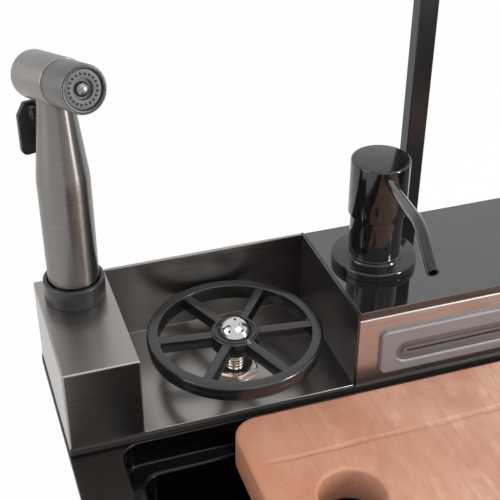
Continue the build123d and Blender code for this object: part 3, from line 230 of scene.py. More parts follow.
def mottled(name, dark, light, rough, per_metre, detail=3.0, smooth=None, bumps=None, shine=0.5):
    """Plastic, rubber, paint or glass with a fine mottle; bumps is a strength and a height in metres."""
    made = coat(name, light, 0.0, rough)
    mottle = grain(made, per_metre, detail=detail)
    tint(made, mottle, dark, light)
    if smooth is not None:
        polish(made, mottle, smooth, rough)
    if bumps is not None:
        relief(made, mottle, *bumps)
    shader_of(made).inputs["Specular IOR Level"].default_value = shine
    return made


def grey(level):
    return (level, level, level)


def dress(made, *nodes):
    """Gives solids of the frame a finish."""
    for node in nodes:
        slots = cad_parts[node].data.materials
        slots.clear()
        slots.append(made)


def middle(node):
    """The middle of a solid, in metres."""
    low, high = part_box(node)
    return (low + high) / 2


def size_of(node):
    """A solid's width, depth and height in millimetres."""
    low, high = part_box(node)
    return (high - low) * 1000


def soften(outline, steps=4):
    """Rounds the corners of an outline of (across, up, radius) points."""
    made = []
    count = len(outline)
    for i, (across, up, radius) in enumerate(outline):
        here = Vector((across, up))
        if radius == 0:
            made.append(here)
            continue
        back = (Vector(outline[i - 1][:2]) - here).normalized()
        onward = (Vector(outline[(i + 1) % count][:2]) - here).normalized()
        half = back.angle(onward) / 2
        centre = here + (back + onward).normalized() * radius / sin(half)
        start = here + back * radius / tan(half) - centre
        end = here + onward * radius / tan(half) - centre
        for k in range(steps + 1):
            made.append(centre + start.lerp(end, k / steps).normalized() * radius)
    return made


def rounded_box(width, depth, corner, steps=6):
    """A rectangle with rounded corners, about its middle."""
    x, y = width / 2, depth / 2
    return soften([(-x, -y, corner), (x, -y, corner), (x, y, corner), (-x, y, corner)], steps)


def circle(radius, count=48, across=0.0, up=0.0):
    """A hole's outline, run the other way round from an outside one."""
    angles = [-2 * pi * k / count for k in range(count)]
    return [(across + radius * cos(a), up + radius * sin(a)) for a in angles]


def smooth_faces(mesh, sharp=32):
    """Smooth shading, with edges kept sharp past an angle in degrees."""
    mesh.shade_smooth()
    mesh.set_sharp_from_angle(angle=radians(sharp))


def smooth_sides(mesh):
    """Smooth shading for all but the two flat faces of a plate."""
    smooth_faces(mesh)
    for face in mesh.polygons:
        face.use_smooth = abs(face.normal.z) < 0.999


def baked(holder):
    """The mesh of an object with its curve or modifiers worked out; the object goes."""
    bpy.context.view_layer.update()
    mesh = bpy.data.meshes.new_from_object(holder.evaluated_get(bpy.context.evaluated_depsgraph_get()))
    bpy.data.objects.remove(holder)
    return mesh


def sealed(mesh):
    """Merges a mesh's doubled points and turns its faces outwards."""
    shape = bmesh.new()
    shape.from_mesh(mesh)
    bmesh.ops.remove_doubles(shape, verts=shape.verts, dist=1e-4)
    bmesh.ops.recalc_face_normals(shape, faces=shape.faces)
    shape.to_mesh(mesh)
    shape.free()


def plate(name, outlines, thickness, edge, place=Matrix(), steps=3):
    """A flat piece with rounded edges: outlines in millimetres, the first outside, the others holes."""
    curve = bpy.data.curves.new(name, "CURVE")
    curve.dimensions = "2D"
    curve.fill_mode = "BOTH"
    curve.extrude = thickness / 2 - edge
    curve.bevel_depth = edge
    curve.bevel_resolution = steps
    curve.offset = -edge
    for outline in outlines:
        spline = curve.splines.new("POLY")
        spline.points.add(len(outline) - 1)
        for point, (across, up) in zip(spline.points, outline):
            point.co = (across, up, 0, 1)
        spline.use_cyclic_u = True
    mesh = baked(in_scene(name, curve))
    sealed(mesh)
    mesh.name = name
    smooth_sides(mesh)
    mesh.transform(place @ Matrix.Scale(0.001, 4))
    return mesh


def settle(mesh, made, body, slot, *nodes):
    """Puts a finished piece in the scene, on the body that carries it."""
    piece = in_scene(mesh.name, mesh)
    mesh.materials.clear()
    mesh.materials.append(made)
    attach(piece, body)
    if nodes:
        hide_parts(*nodes)
    return piece


deck_width, deck_depth, deck_sheet = size_of("deck_frame")
front_corner, rear_corner = 8.0, 30.0


def rim_outline(inset):
    """The deck's outline with rounder corners at the rear, drawn in by an inset."""
    x, y = deck_width / 2 - inset, deck_depth / 2 - inset
    front, rear = max(4, front_corner - inset), rear_corner - inset
    return soften([(-x, -y, front), (x, -y, front), (x, y, rear), (-x, y, rear)], 10)


def hole_under(node, radius, count):
    """A round hole in the deck under a piece."""
    place = middle(node) * 1000
    return circle(radius, count, place.x, place.y)


flange = 8.0
well_corner = 11.5
well_middle = middle("bowl") * 1000
well_x, well_y = size_of("bowl").to_2d() / 2 - Vector((flange, flange))
opening = [point + well_middle.to_2d() for point in rounded_box(2 * well_x, 2 * well_y, well_corner, 10)]
window_margin, window_rear_margin = 14.0, 8.0
console_low, console_high = (corner * 1000 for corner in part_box("console_sides"))
window_left, window_right = console_low.x + window_margin, console_high.x - window_margin
window_front, window_rear = console_low.y + window_margin, console_high.y - window_rear_margin
window = [
    (window_left, window_front), (window_left, window_rear),
    (window_right, window_rear), (window_right, window_front),
]
hose_hole, shank_hole, stud_hole = 10.8, 10.6, 6.4
deck = plate(
    "pressed_deck",
    [
        rim_outline(0), opening[::-1], window, hole_under("gun_hose_tail", hose_hole, 32),
        hole_under("rinser_wheel", shank_hole, 32), hole_under("tap_column", stud_hole, 24),
    ],
    deck_sheet,
    edge=0.7,
    place=Matrix.Translation(middle("deck_frame")),
)
along_x = (0.012, 1, 1)
deck_steel = brushed(
    "deck_steel", (0.034, 0.031, 0.03), (0.047, 0.043, 0.041), smooth=0.3, rough=0.38, stretch=along_x
)
settle(deck, deck_steel, "sink", "deck_steel", "deck_frame")
foam_width = 9.0
gasket = plate(
    "foam_rim_gasket",
    [rim_outline(0), rim_outline(foam_width)[::-1]],
    size_of("rim_gasket").z,
    edge=0.2,
    place=Matrix.Translation(middle("rim_gasket")),
    steps=2,
)
foam = mottled(
    "rim_foam", grey(0.02), grey(0.06), rough=0.95, per_metre=900.0, detail=2.0, bumps=(0.4, 0.0004)
)
settle(gasket, foam, "sink", "foam", "rim_gasket")
plain_steel = brushed("plain_steel", grey(0.4), grey(0.56), smooth=0.25, rough=0.42, stretch=along_x)
dress(plain_steel, "clip_rails", "mounting_clips", "clip_screws")


# The bowl: deep drawn from the same sheet, coated gloss black, with a ledge all round for boards.
# Rubber pads are glued under its floor and on its sides to deaden the sound of water.
def skin(shape, loops):
    """Faces between each loop of points and the next."""
    for loop, following in zip(loops, loops[1:]):
        for i in range(len(loop)):
            j = (i + 1) % len(loop)
            shape.faces.new((loop[i], loop[j], following[j], following[i]))


def as_mesh(shape, name, place=Matrix(), sharp=32):
    """A mesh in its place, from a shape drawn in millimetres, with its faces turned outwards."""
    bmesh.ops.recalc_face_normals(shape, faces=shape.faces)
    mesh = bpy.data.meshes.new(name)
    shape.to_mesh(mesh)
    shape.free()
    mesh.transform(place @ Matrix.Scale(0.001, 4))
    smooth_faces(mesh, sharp)
    return mesh


def pressed_ring(name, stations, place):
    """A closed skin through rounded rectangles: (half width, half depth, corner, height) in millimetres."""
    shape = bmesh.new()
    loops = []
    for half_x, half_y, corner, height in stations:
        outline = rounded_box(2 * half_x, 2 * half_y, corner, 8)
        loops.append([shape.verts.new((x, y, height)) for x, y in outline])
    skin(shape, loops + loops[:1])
    return as_mesh(shape, name, place)


def bend(centre, radius, first, last, steps=5):
    """Points round a bend in the bowl's section."""
    across, up = centre
    angles = [radians(first + (last - first) * k / steps) for k in range(steps + 1)]
    return [(across + radius * cos(a), up + radius * sin(a)) for a in angles]


bowl_sheet, bowl_depth = 1.5, 200.0
ledge_width, ledge_drop = 10.0, 14.05
ledge_bend, lip_bend, foot_bend = 1.5, 2.2, 12.0
bowl_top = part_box("bowl")[1].z * 1000
ledge = bowl_top - ledge_drop
bowl_bottom = bowl_top - bowl_depth
at_ledge = (ledge_bend, ledge + ledge_bend)
at_lip = (ledge_width - lip_bend, ledge - lip_bend)
at_foot = (ledge_width + foot_bend, bowl_bottom + foot_bend)
section = [(-flange, bowl_top), (0.0, bowl_top)]
section += bend(at_ledge, ledge_bend, 180, 270)
section += bend(at_lip, lip_bend, 90, 0)
section += bend(at_foot, foot_bend, 180, 270, 8)
section += bend(at_foot, foot_bend + bowl_sheet, 270, 180, 8)
section += bend(at_lip, lip_bend - bowl_sheet, 0, 90)
section += bend(at_ledge, ledge_bend + bowl_sheet, 270, 180)
section += [(-bowl_sheet, bowl_top - bowl_sheet), (-flange, bowl_top - bowl_sheet)]
stations = []
for across, up in section:
    inside = min(well_corner, max(0.3, well_corner + ledge_width - across))
    corner = well_corner - across if across < 0 else inside
    stations.append((well_x - across, well_y - across, corner, up))
well_place = Matrix.Translation((well_middle.x / 1000, well_middle.y / 1000, 0))
bowl = pressed_ring("pressed_bowl", stations, well_place)
bowl_black = mottled(
    "bowl_black", (0.0015, 0.0015, 0.0018), (0.003, 0.003, 0.0034),
    rough=0.14, per_metre=700.0, detail=4.0, smooth=0.1, bumps=(0.015, 0.0001), shine=0.25,
)
settle(bowl, bowl_black, "sink", "bowl_black", "bowl")
dress(bowl_black, "bowl_floor")
pad_rubber = mottled(
    "pad_rubber", grey(0.02), (0.05, 0.05, 0.048), rough=0.9, per_metre=500.0, bumps=(0.3, 0.0003)
)
dress(pad_rubber, "sound_pads", "drain_gasket")

# The platform: a strip of plate on the deck, a folded box for the spray gun and a folded tray
# with a back wall, all in dark coated steel brushed along the sink's length and welded together.
platform_steel = brushed(
    "platform_steel", (0.325, 0.307, 0.297), (0.355, 0.335, 0.325),
    smooth=0.27, rough=0.31, stretch=along_x, strength=0.008,
)
dress(platform_steel, "gun_housing")
base_steel = brushed(
    "base_steel", (0.045, 0.042, 0.041), (0.06, 0.056, 0.054),
    smooth=0.32, rough=0.4, stretch=along_x, metallic=0.5,
)
dress(base_steel, "platform_base")
tray_low, tray_high = (corner * 1000 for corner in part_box("rinser_tray"))
tray_sheet = 1.2
hem_width, hem_depth = 2.2, 5.0
front, rear = tray_low.y, tray_high.y
under, top = tray_low.z, tray_high.z
fold = [
    (front, under, 0), (rear, under, 1.2), (rear, top, 0.4), (rear - hem_width, top, 0.4),
    (rear - hem_width, top - hem_depth, 0.2), (rear - tray_sheet, top - hem_depth, 0),
    (rear - tray_sheet, under + tray_sheet, 0.4), (front, under + tray_sheet, 0.4),
]


def side_on(across):
    """Stands a plate up so that its outline lies in the Y and Z directions."""
    return Matrix(((0, 0, 1, across), (1, 0, 0, 0), (0, 1, 0, 0), (0, 0, 0, 1)))


tray_width = size_of("rinser_tray").x
tray_place = side_on(middle("rinser_tray").x)
tray = plate("folded_tray", [soften(fold)], tray_width, edge=0.1, place=tray_place, steps=1)
settle(tray, platform_steel, "sink", "panel_steel", "rinser_tray")

# The console: front and rear panels folded from polished steel and end panels in dark coated steel,
# with a sheet of black glass laid on their ledges.
mirror_steel = coat("mirror_steel", (0.52, 0.5, 0.49), 1.0, 0.32)
faint = grain(mirror_steel, 900.0, along_x)
tint(mirror_steel, faint, (0.5, 0.48, 0.47), (0.54, 0.52, 0.51))
polish(mirror_steel, faint, 0.26, 0.32)
dress(mirror_steel, "console_front", "console_rear")
side_steel = brushed(
    "side_steel", (0.09, 0.085, 0.083), (0.12, 0.114, 0.11), smooth=0.26, rough=0.34, stretch=along_x
)
dress(side_steel, "console_sides")
black_glass = mottled(
    "black_glass", (0.003, 0.003, 0.004), (0.006, 0.006, 0.007),
    rough=0.06, per_metre=60.0, detail=2.0, smooth=0.02, shine=0.9,
)
shader_of(black_glass).inputs["IOR"].default_value = 1.7
glass_width, glass_depth, glass_sheet = size_of("glass_top")
glass_middle = middle("glass_top")
pump_place = (middle("dispenser_body") - glass_middle) * 1000
knob_place = (middle("mixer_cartridge") - glass_middle) * 1000
keys_place = (middle("key_frame") - glass_middle) * 1000
pump_hole, knob_hole = 12.6, 18.0
keys_overlap, keys_corner = 3.8, 4.0
keys_x, keys_y = size_of("key_frame").to_2d() - 2 * Vector((keys_overlap, keys_overlap))
keys_hole = [point + keys_place.to_2d() for point in rounded_box(keys_x, keys_y, keys_corner)]
glass = plate(
    "console_glass",
    [
        rounded_box(glass_width, glass_depth, 0.6),
        circle(pump_hole, 48, pump_place.x, pump_place.y),
        circle(knob_hole, 48, knob_place.x, knob_place.y),
        keys_hole[::-1],
    ],
    glass_sheet,
    edge=0.4,
    place=Matrix.Translation(glass_middle),
)
settle(glass, black_glass, "sink", "black_glass", "glass_top")

# The waterfall outlet: a cast plate with a long recess, screwed on the console's front from behind,
# a nozzle bar with a thin slot in the recess, and a plastic water chamber behind the panel.
outlet_steel = brushed(
    "outlet_steel", (0.21, 0.2, 0.205), (0.245, 0.233, 0.238),
    smooth=0.42, rough=0.5, stretch=along_x, metallic=0.45,
)
dress(outlet_steel, "outlet_plate")
# The nozzle bar's steel is darker than the plate's: partly its own finish, partly painted shade in the
# recess.
nozzle_steel_painted_darker = brushed(
    "nozzle_steel_painted_darker", (0.13, 0.125, 0.124), (0.17, 0.164, 0.162),
    smooth=0.22, rough=0.3, stretch=along_x, metallic=0.5,
)
dress(nozzle_steel_painted_darker, "waterfall_nozzle")
pale_plastic = mottled(
    "pale_plastic", (0.5, 0.5, 0.48), (0.6, 0.6, 0.58), rough=0.45, per_metre=260.0, bumps=(0.08, 0.0002)
)
dress(pale_plastic, "waterfall_box", "key_valve_block", "drain_body", "tail_pipe", "overflow_pipe")


# The spray gun's body: a casting of handle, neck and barrel, brushed round its axis, standing in a black
# collar that is screwed into the box. The front sleeve is screwed on the barrel.
def lathe(name, outline, place=Matrix(), rounds=96, steps=4):
    """A turned piece: a closed outline of (radius, height, rounding) in millimetres, swept about Z."""
    points = soften(outline, steps)
    shape = bmesh.new()
    rings = []
    for k in range(rounds):
        angle = 2 * pi * k / rounds
        rings.append([shape.verts.new((p.x * cos(angle), p.x * sin(angle), p.y)) for p in points])
    for k in range(rounds):
        ring, following = rings[k], rings[(k + 1) % rounds]
        for i in range(len(points)):
            j = (i + 1) % len(points)
            if points[i].x > 1e-6 or points[j].x > 1e-6:
                shape.faces.new((ring[i], following[i], following[j], ring[j]))
    bmesh.ops.remove_doubles(shape, verts=shape.verts, dist=1e-4)
    bmesh.ops.dissolve_degenerate(shape, edges=shape.edges, dist=1e-5)
    loose = [v for v in shape.verts if not v.link_faces]
    bmesh.ops.delete(shape, geom=loose, context="VERTS")
    return as_mesh(shape, name, place)


ring_lines = (0.03, 0.03, 1)


def turned_steel(name, dark, light, axis):
    """Steel brushed round an axis, so that its reflections are drawn out along that axis."""
    made = brushed(name, dark, light, smooth=0.28, rough=0.34, stretch=ring_lines, strength=0.012)
    shader_of(made).inputs["Anisotropic"].default_value = 0.85
    way = made.node_tree.nodes.new("ShaderNodeCombineXYZ")
    for socket, value in zip(way.inputs, axis):
        socket.default_value = value
    made.node_tree.links.new(way.outputs["Vector"], shader_of(made).inputs["Tangent"])
    return made


gun_axis = middle("gun_collar")
gun_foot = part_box("gun_body")[0].z
gun_turn = 16
barrel_tilt = 13.2
head_height = 133.1
stand = Matrix.Translation((gun_axis.x, gun_axis.y, gun_foot)) @ Matrix.Rotation(radians(gun_turn), 4, "Z")
raised = Matrix.Translation((0, 0, head_height / 1000))
head = stand @ raised @ Matrix.Rotation(radians(90 - barrel_tilt), 4, "X")
handle = lathe(
    "gun_handle",
    [
        (0, 0, 0), (13.5, 0, 0.6), (13.5, 9.4, 0), (14.8, 10.8, 0.3), (14.8, 76, 60), (9.8, 120.5, 30),
        (9.8, head_height, 0), (0, head_height, 0),
    ],
    stand,
    steps=8,
)
barrel = lathe(
    "gun_barrel",
    [(0, -25.7, 0), (13.2, -25.7, 1.6), (13.2, 13.6, 0.7), (9.0, 13.6, 0), (9.0, 22.0, 0), (0, 22.0, 0)],
    head,
)
sleeve = lathe(
    "gun_front_sleeve",
    [
        (9.05, 13.7, 0), (12.6, 13.7, 0.5), (12.6, 36.6, 0.3), (12.05, 37.2, 0.15), (11.85, 37.2, 0),
        (11.85, 33.0, 0), (10.6, 33.0, 0), (10.6, 22.0, 0), (9.05, 22.0, 0),
    ],
    head,
)
barrel_way = head.to_3x3() @ Vector((0, 0, 1))
# The handle's steel is a darker copy of the barrel's, though both are one casting: painted shade on the
# handle.
handle_steel_painted_darker = turned_steel("handle_steel_painted_darker", (0.18, 0.17, 0.163), (0.22, 0.209, 0.2), (0, 0, 1))
barrel_steel = turned_steel("barrel_steel", (0.24, 0.228, 0.219), (0.29, 0.277, 0.267), barrel_way)
sleeve_steel = turned_steel("sleeve_steel", (0.15, 0.143, 0.138), (0.18, 0.172, 0.166), barrel_way)
settle(handle, handle_steel_painted_darker, "gun", "gun_metal", "gun_body")
settle(barrel, barrel_steel, "gun", "gun_metal")
settle(sleeve, sleeve_steel, "gun", "gun_metal", "gun_sleeve")
collar_top = size_of("gun_collar").z
collar = lathe(
    "gun_stand_collar",
    [
        (10.4, 0, 0), (15.0, 0, 0.4), (15.0, 14.0, 0), (17.85, 14.0, 0.4), (17.85, collar_top, 1.0),
        (15.3, collar_top, 0.5), (15.15, collar_top - 10.0, 0), (10.4, collar_top - 10.0, 0),
    ],
    Matrix.Translation((gun_axis.x, gun_axis.y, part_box("gun_collar")[0].z)),
)
satin_black = mottled(
    "satin_black", grey(0.012), grey(0.024), rough=0.3, per_metre=1500.0, bumps=(0.1, 0.0001)
)
settle(collar, satin_black, "sink", "black_satin", "gun_collar")
dress(satin_black, "key_frame")


# The gun's face: a grey rubber disc with a ring of small spray holes, a black ring round it
# and a glossy domed jet in the middle.
def begin_tree(name, inputs):
    """A node tree with named inputs for its counts and sizes, and one for its finish."""
    tree = bpy.data.node_groups.new(name, "GeometryNodeTree")
    for label, value in inputs.items():
        kind = "NodeSocketInt" if isinstance(value, int) else "NodeSocketFloat"
        tree.interface.new_socket(name=label, in_out="INPUT", socket_type=kind).default_value = value
    tree.interface.new_socket(name="Finish", in_out="INPUT", socket_type="NodeSocketMaterial")
    tree.interface.new_socket(name="Geometry", in_out="OUTPUT", socket_type="NodeSocketGeometry")
    return tree, tree.nodes.new("NodeGroupInput").outputs


def set_round(tree, given, item, radius=0.0, lean=0.0):
    """Sets copies of an item round a ring, each turned outwards, and ends the tree."""
    ring = tree.nodes.new("GeometryNodeMeshCircle")
    index = tree.nodes.new("GeometryNodeInputIndex")
    turn = tree.nodes.new("ShaderNodeCombineXYZ")
    spread = tree.nodes.new("GeometryNodeInstanceOnPoints")
    real = tree.nodes.new("GeometryNodeRealizeInstances")
    finish = tree.nodes.new("GeometryNodeSetMaterial")
    result = tree.nodes.new("NodeGroupOutput")
    step = worked_out(tree, "DIVIDE", index.outputs["Index"], given["Count"])
    feed(tree, ring.inputs["Vertices"], given["Count"])
    feed(tree, ring.inputs["Radius"], radius)
    feed(tree, turn.inputs["Y"], lean)
    feed(tree, turn.inputs["Z"], worked_out(tree, "MULTIPLY_ADD", step, 2 * pi, given["First angle"]))
    feed(tree, spread.inputs["Points"], ring.outputs["Mesh"])
    feed(tree, spread.inputs["Instance"], item)
    feed(tree, spread.inputs["Rotation"], turn.outputs["Vector"])
    feed(tree, real.inputs["Geometry"], spread.outputs["Instances"])
    feed(tree, finish.inputs["Geometry"], real.outputs["Geometry"])
    feed(tree, finish.inputs["Material"], given["Finish"])
    feed(tree, result.inputs["Geometry"], finish.outputs["Geometry"])


def hole_ring_tree():
    """Small cups set in a ring, which lean outwards."""
    sizes = {
        "Count": 18, "First angle": 0.0, "Ring radius": 0.0077, "Cup radius": 0.0006,
        "Cup height": 0.0004, "Lean": 0.0,
    }
    tree, given = begin_tree("hole_ring", sizes)
    cup = tree.nodes.new("GeometryNodeMeshCylinder")
    cup.inputs["Vertices"].default_value = 14
    feed(tree, cup.inputs["Radius"], given["Cup radius"])
    feed(tree, cup.inputs["Depth"], given["Cup height"])
    set_round(tree, given, cup.outputs["Mesh"], given["Ring radius"], given["Lean"])
    return tree


def grown(name, tree, values, place=Matrix()):
    """The mesh that a node tree makes with these inputs, moved to its place."""
    seed = in_scene(name, bpy.data.meshes.new(name))
    modifier = seed.modifiers.new("tree", "NODES")
    modifier.node_group = tree
    for item in tree.interface.items_tree:
        if item.in_out == "INPUT" and item.name in values:
            modifier[item.identifier] = values[item.name]
    mesh = baked(seed)
    mesh.name = name
    mesh.transform(place)
    smooth_faces(mesh)
    return mesh


face_ring = lathe(
    "gun_face_rim", [(10.2, 35.2, 0), (11.8, 35.2, 0), (11.8, 37.6, 0.5), (10.2, 37.4, 0.5)], head
)
settle(face_ring, satin_black, "gun", "black_satin", "gun_face_ring")
face_level = 36.2
face_disc = lathe(
    "gun_spray_disc",
    [
        (0, 33.0, 0), (11.8, 33.0, 0), (11.8, 35.2, 0), (10.15, 35.2, 0), (10.15, face_level, 0.3),
        (5.4, face_level, 0.3), (5.2, 34.6, 0), (0, 34.6, 0),
    ],
    head,
)
face_grey = mottled("face_grey", (0.05, 0.05, 0.054), (0.085, 0.085, 0.09), rough=0.42, per_metre=2200.0)
settle(face_disc, face_grey, "gun", "spray_face", "gun_spray_face")
jet_radius, jet_rise, jet_foot = 3.9, 3.1, 34.6
jet_angles = [radians(t) for t in range(90, -1, -10)]
jet_ball = [(jet_radius * sin(a), jet_foot + 0.3 + jet_rise * cos(a), 0) for a in jet_angles]
jet = lathe("gun_jet_dome", [(0, jet_foot, 0), (jet_radius, jet_foot, 0)] + jet_ball, head)
jet_metal = coat("jet_metal", (0.26, 0.26, 0.27), 1.0, 0.34)
polish(jet_metal, grain(jet_metal, 900.0), 0.26, 0.34)
settle(jet, jet_metal, "gun", "black_gloss", "gun_centre_jet")
hole_ring = hole_ring_tree()
# The spray holes and the dome's jets are small near-black cups standing on the surfaces: painted shade for
# the dark insides of the holes.
painted_hole_shade = mottled("painted_hole_shade", grey(0.004), grey(0.009), rough=0.7, per_metre=3000.0)
spray_holes = grown(
    "gun_spray_holes",
    hole_ring,
    {"Count": 20, "Ring radius": 0.0077, "Cup radius": 0.00062, "Cup height": 0.0006, "Finish": painted_hole_shade},
    head @ Matrix.Translation((0, 0, face_level / 1000)),
)
settle(spray_holes, painted_hole_shade, "gun", "spray_face")


# The trigger: a rounded black plate behind the neck with two ears, on a steel pin through the casting's lug,
# that pushes a plunger into the neck. The hose's tail under the gun is nickel plated brass.
def joined(name, *meshes):
    """Several meshes as one."""
    shape = bmesh.new()
    for mesh in meshes:
        shape.from_mesh(mesh)
    whole = bpy.data.meshes.new(name)
    shape.to_mesh(whole)
    shape.free()
    smooth_faces(whole)
    return whole


pivot_back, pivot_height = 0.0195, 0.1077
lever_back, lever_sheet, ear_offset = 0.0049, 3.0, 0.0052
on_pivot = stand @ Matrix.Translation((0, pivot_back, pivot_height))
upright = Matrix.Translation((0, lever_back, 0)) @ Matrix.Rotation(radians(90), 4, "X")
lever_outline = soften(
    [
        (-12.5, -26.3, 4), (12.5, -26.3, 4), (12.5, -1.8, 1), (8.3, 5.2, 1), (-8.3, 5.2, 1),
        (-12.5, -1.8, 1),
    ],
    6,
)
lever = plate("trigger_thumb_plate", [lever_outline], lever_sheet, edge=0.7, place=on_pivot @ upright)
ear_outline = soften([(-3.4, -3.4, 3.3), (3.6, -3.4, 0), (3.6, 3.4, 0), (-3.4, 3.4, 3.3)], 8)
ears = []
for across in (-ear_offset, ear_offset):
    ear_place = on_pivot @ side_on(across)
    ears.append(plate("trigger_ear", [ear_outline], lever_sheet, edge=0.3, place=ear_place))
trigger = joined("trigger_thumb_lever", lever, *ears)
settle(trigger, satin_black, "trigger", "black_satin", "trigger_lever")
dress(plain_steel, "trigger_pin", "trigger_plunger")
nickel = brushed(
    "nickel", (0.68, 0.61, 0.51), (0.77, 0.7, 0.6), smooth=0.16, rough=0.24, stretch=ring_lines
)
dress(nickel, "gun_hose_tail", "mixer_cartridge", "back_nuts")


# The cup rinser's wheel: one moulding in charcoal plastic, with a grooved rim, six rounded spokes and a hub
# with a ring round the dome. It slides down the valve's stem against a spring.
def spoke_tree():
    """Rounded bars set out from a hub."""
    sizes = {
        "Count": 6, "First angle": 0.0, "Inner radius": 0.012, "Outer radius": 0.046, "Width": 0.005,
        "Height": 0.0066, "Rounding": 0.001,
    }
    tree, given = begin_tree("wheel_spokes", sizes)
    inner = tree.nodes.new("ShaderNodeCombineXYZ")
    outer = tree.nodes.new("ShaderNodeCombineXYZ")
    line = tree.nodes.new("GeometryNodeCurvePrimitiveLine")
    section = tree.nodes.new("GeometryNodeCurvePrimitiveQuadrilateral")
    rounded = tree.nodes.new("GeometryNodeFilletCurve")
    rounded.mode = "POLY"
    rounded.inputs["Count"].default_value = 4
    bar = tree.nodes.new("GeometryNodeCurveToMesh")
    bar.inputs["Fill Caps"].default_value = True
    feed(tree, inner.inputs["X"], given["Inner radius"])
    feed(tree, outer.inputs["X"], given["Outer radius"])
    feed(tree, line.inputs["Start"], inner.outputs["Vector"])
    feed(tree, line.inputs["End"], outer.outputs["Vector"])
    feed(tree, section.inputs["Width"], given["Width"])
    feed(tree, section.inputs["Height"], given["Height"])
    feed(tree, rounded.inputs["Curve"], section.outputs["Curve"])
    feed(tree, rounded.inputs["Radius"], given["Rounding"])
    feed(tree, bar.inputs["Curve"], line.outputs["Curve"])
    feed(tree, bar.inputs["Profile Curve"], rounded.outputs["Curve"])
    set_round(tree, given, bar.outputs["Mesh"])
    return tree


rinser_axis = middle("rinser_wheel")
wheel_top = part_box("rinser_dome")[0].z
on_wheel = Matrix.Translation((rinser_axis.x, rinser_axis.y, wheel_top))
rim = lathe(
    "rinser_rim",
    [
        (45.7, -10, 0.6), (51.5, -10, 0.8), (51.5, -5.7, 0.2), (51.0, -5.5, 0), (51.0, -5.0, 0),
        (52.4, -4.8, 0.3), (52.4, 0, 1.6), (45.7, 0, 0.8),
    ],
    on_wheel,
    rounds=160,
)
hub = lathe(
    "rinser_hub",
    [
        (6.16, -14, 0), (8.5, -14, 0.5), (8.5, -9.5, 0.5), (14.5, -9.5, 0.6), (14.5, 0, 0.9), (13.3, 0, 0.2),
        (13.1, 1.0, 0.4), (11.7, 1.0, 0.4), (11.3, 0, 0), (0, 0, 0), (0, -2, 0), (6.16, -2, 0),
    ],
    on_wheel,
)
wheel_plastic = mottled(
    "wheel_plastic", (0.006, 0.0065, 0.0068), (0.0095, 0.0103, 0.0108),
    rough=0.28, per_metre=1300.0, smooth=0.2, bumps=(0.02, 0.0001), shine=0.7,
)
spoke_count = 6
spokes = grown(
    "rinser_spokes",
    spoke_tree(),
    {
        "Count": spoke_count, "First angle": radians(52.3), "Inner radius": 0.012, "Outer radius": 0.0475,
        "Width": 0.006, "Height": 0.0086, "Rounding": 0.0011, "Finish": wheel_plastic,
    },
    on_wheel @ Matrix.Translation((0, 0, -0.0049)),
)
pins = grown(
    "rinser_moulding_pins",
    hole_ring,
    {
        "Count": spoke_count, "Ring radius": 0.0456, "Cup radius": 0.0009, "Cup height": 0.0012,
        "Finish": wheel_plastic,
    },
    on_wheel @ Matrix.Translation((0, 0, -0.0016)) @ Matrix.Rotation(radians(57.6), 4, "Z"),
)
wheel = joined("rinser_cup_wheel", rim, hub, spokes, pins)
settle(wheel, wheel_plastic, "rinser", "wheel_plastic", "rinser_wheel")


# The rinser's dome and valve: a chromed spray dome on the hub, a nickel plated valve with a threaded shank,
# a hex nut that clamps it to the tray, a black seal ring in the nut's recess whose black is also painted
# shade for the recess, and the spring between shank and hub.
def hex_nut(name, flats, bore, height, place):
    """A six-sided nut with its corners taken off at the top."""
    shape = bmesh.new()
    corner = flats / sqrt(3)
    levels = [
        (0, 0.97, corner * 0.96), (0.5, 1, corner), (height - 1.0, 1, corner), (height, 0.92, corner * 0.9),
    ]
    points = 72
    angles = [2 * pi * k / points for k in range(points)]
    loops = []
    for level, share, limit in levels:
        radii = [min(share * flats / 2 / cos(a % (pi / 3) - pi / 6), limit) for a in angles]
        loops.append([shape.verts.new((r * cos(a), r * sin(a), level)) for r, a in zip(radii, angles)])
    for level in (height, 0):
        loops.append([shape.verts.new((bore * cos(a), bore * sin(a), level)) for a in angles])
    skin(shape, loops + loops[:1])
    return as_mesh(shape, name, place, 20)


def wound_spring(name, node, radius, wire, turns, axis):
    """A spring of round wire, in millimetres, wound up the height of a solid."""
    low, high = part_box(node)
    length = high.z - low.z
    curve = bpy.data.curves.new(name, "CURVE")
    curve.dimensions = "3D"
    curve.bevel_depth = wire / 2
    curve.bevel_resolution = 3
    curve.use_fill_caps = True
    spline = curve.splines.new("NURBS")
    points_a_turn = 16
    last = points_a_turn * turns
    spline.points.add(last)
    for k, point in enumerate(spline.points):
        angle = 2 * pi * k / points_a_turn
        rise = low.z * 1000 + wire / 2 + (length * 1000 - wire) * k / last
        point.co = (radius * cos(angle), radius * sin(angle), rise, 1)
    spline.order_u = 3
    spline.use_endpoint_u = True
    mesh = baked(in_scene(name, curve))
    mesh.name = name
    mesh.transform(Matrix.Translation((axis.x, axis.y, 0)) @ Matrix.Scale(0.001, 4))
    smooth_faces(mesh)
    piece = settle(mesh, spring_wire, "sink", "spring_steel", node)
    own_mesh(piece)


dome_radius, dome_sink = 10.695, 2.495
dome_angles = [radians(t) for t in range(76, -1, -4)]
dome_ball = [(dome_radius * sin(a), dome_radius * cos(a) - dome_sink, 0) for a in dome_angles]
dome = lathe("rinser_spray_dome", [(0, 0, 0)] + dome_ball, on_wheel)
chrome = coat("chrome", (0.6, 0.59, 0.58), 1.0, 0.09)
polish(chrome, grain(chrome, 300.0), 0.04, 0.09)
settle(dome, chrome, "rinser", "chrome", "rinser_dome")
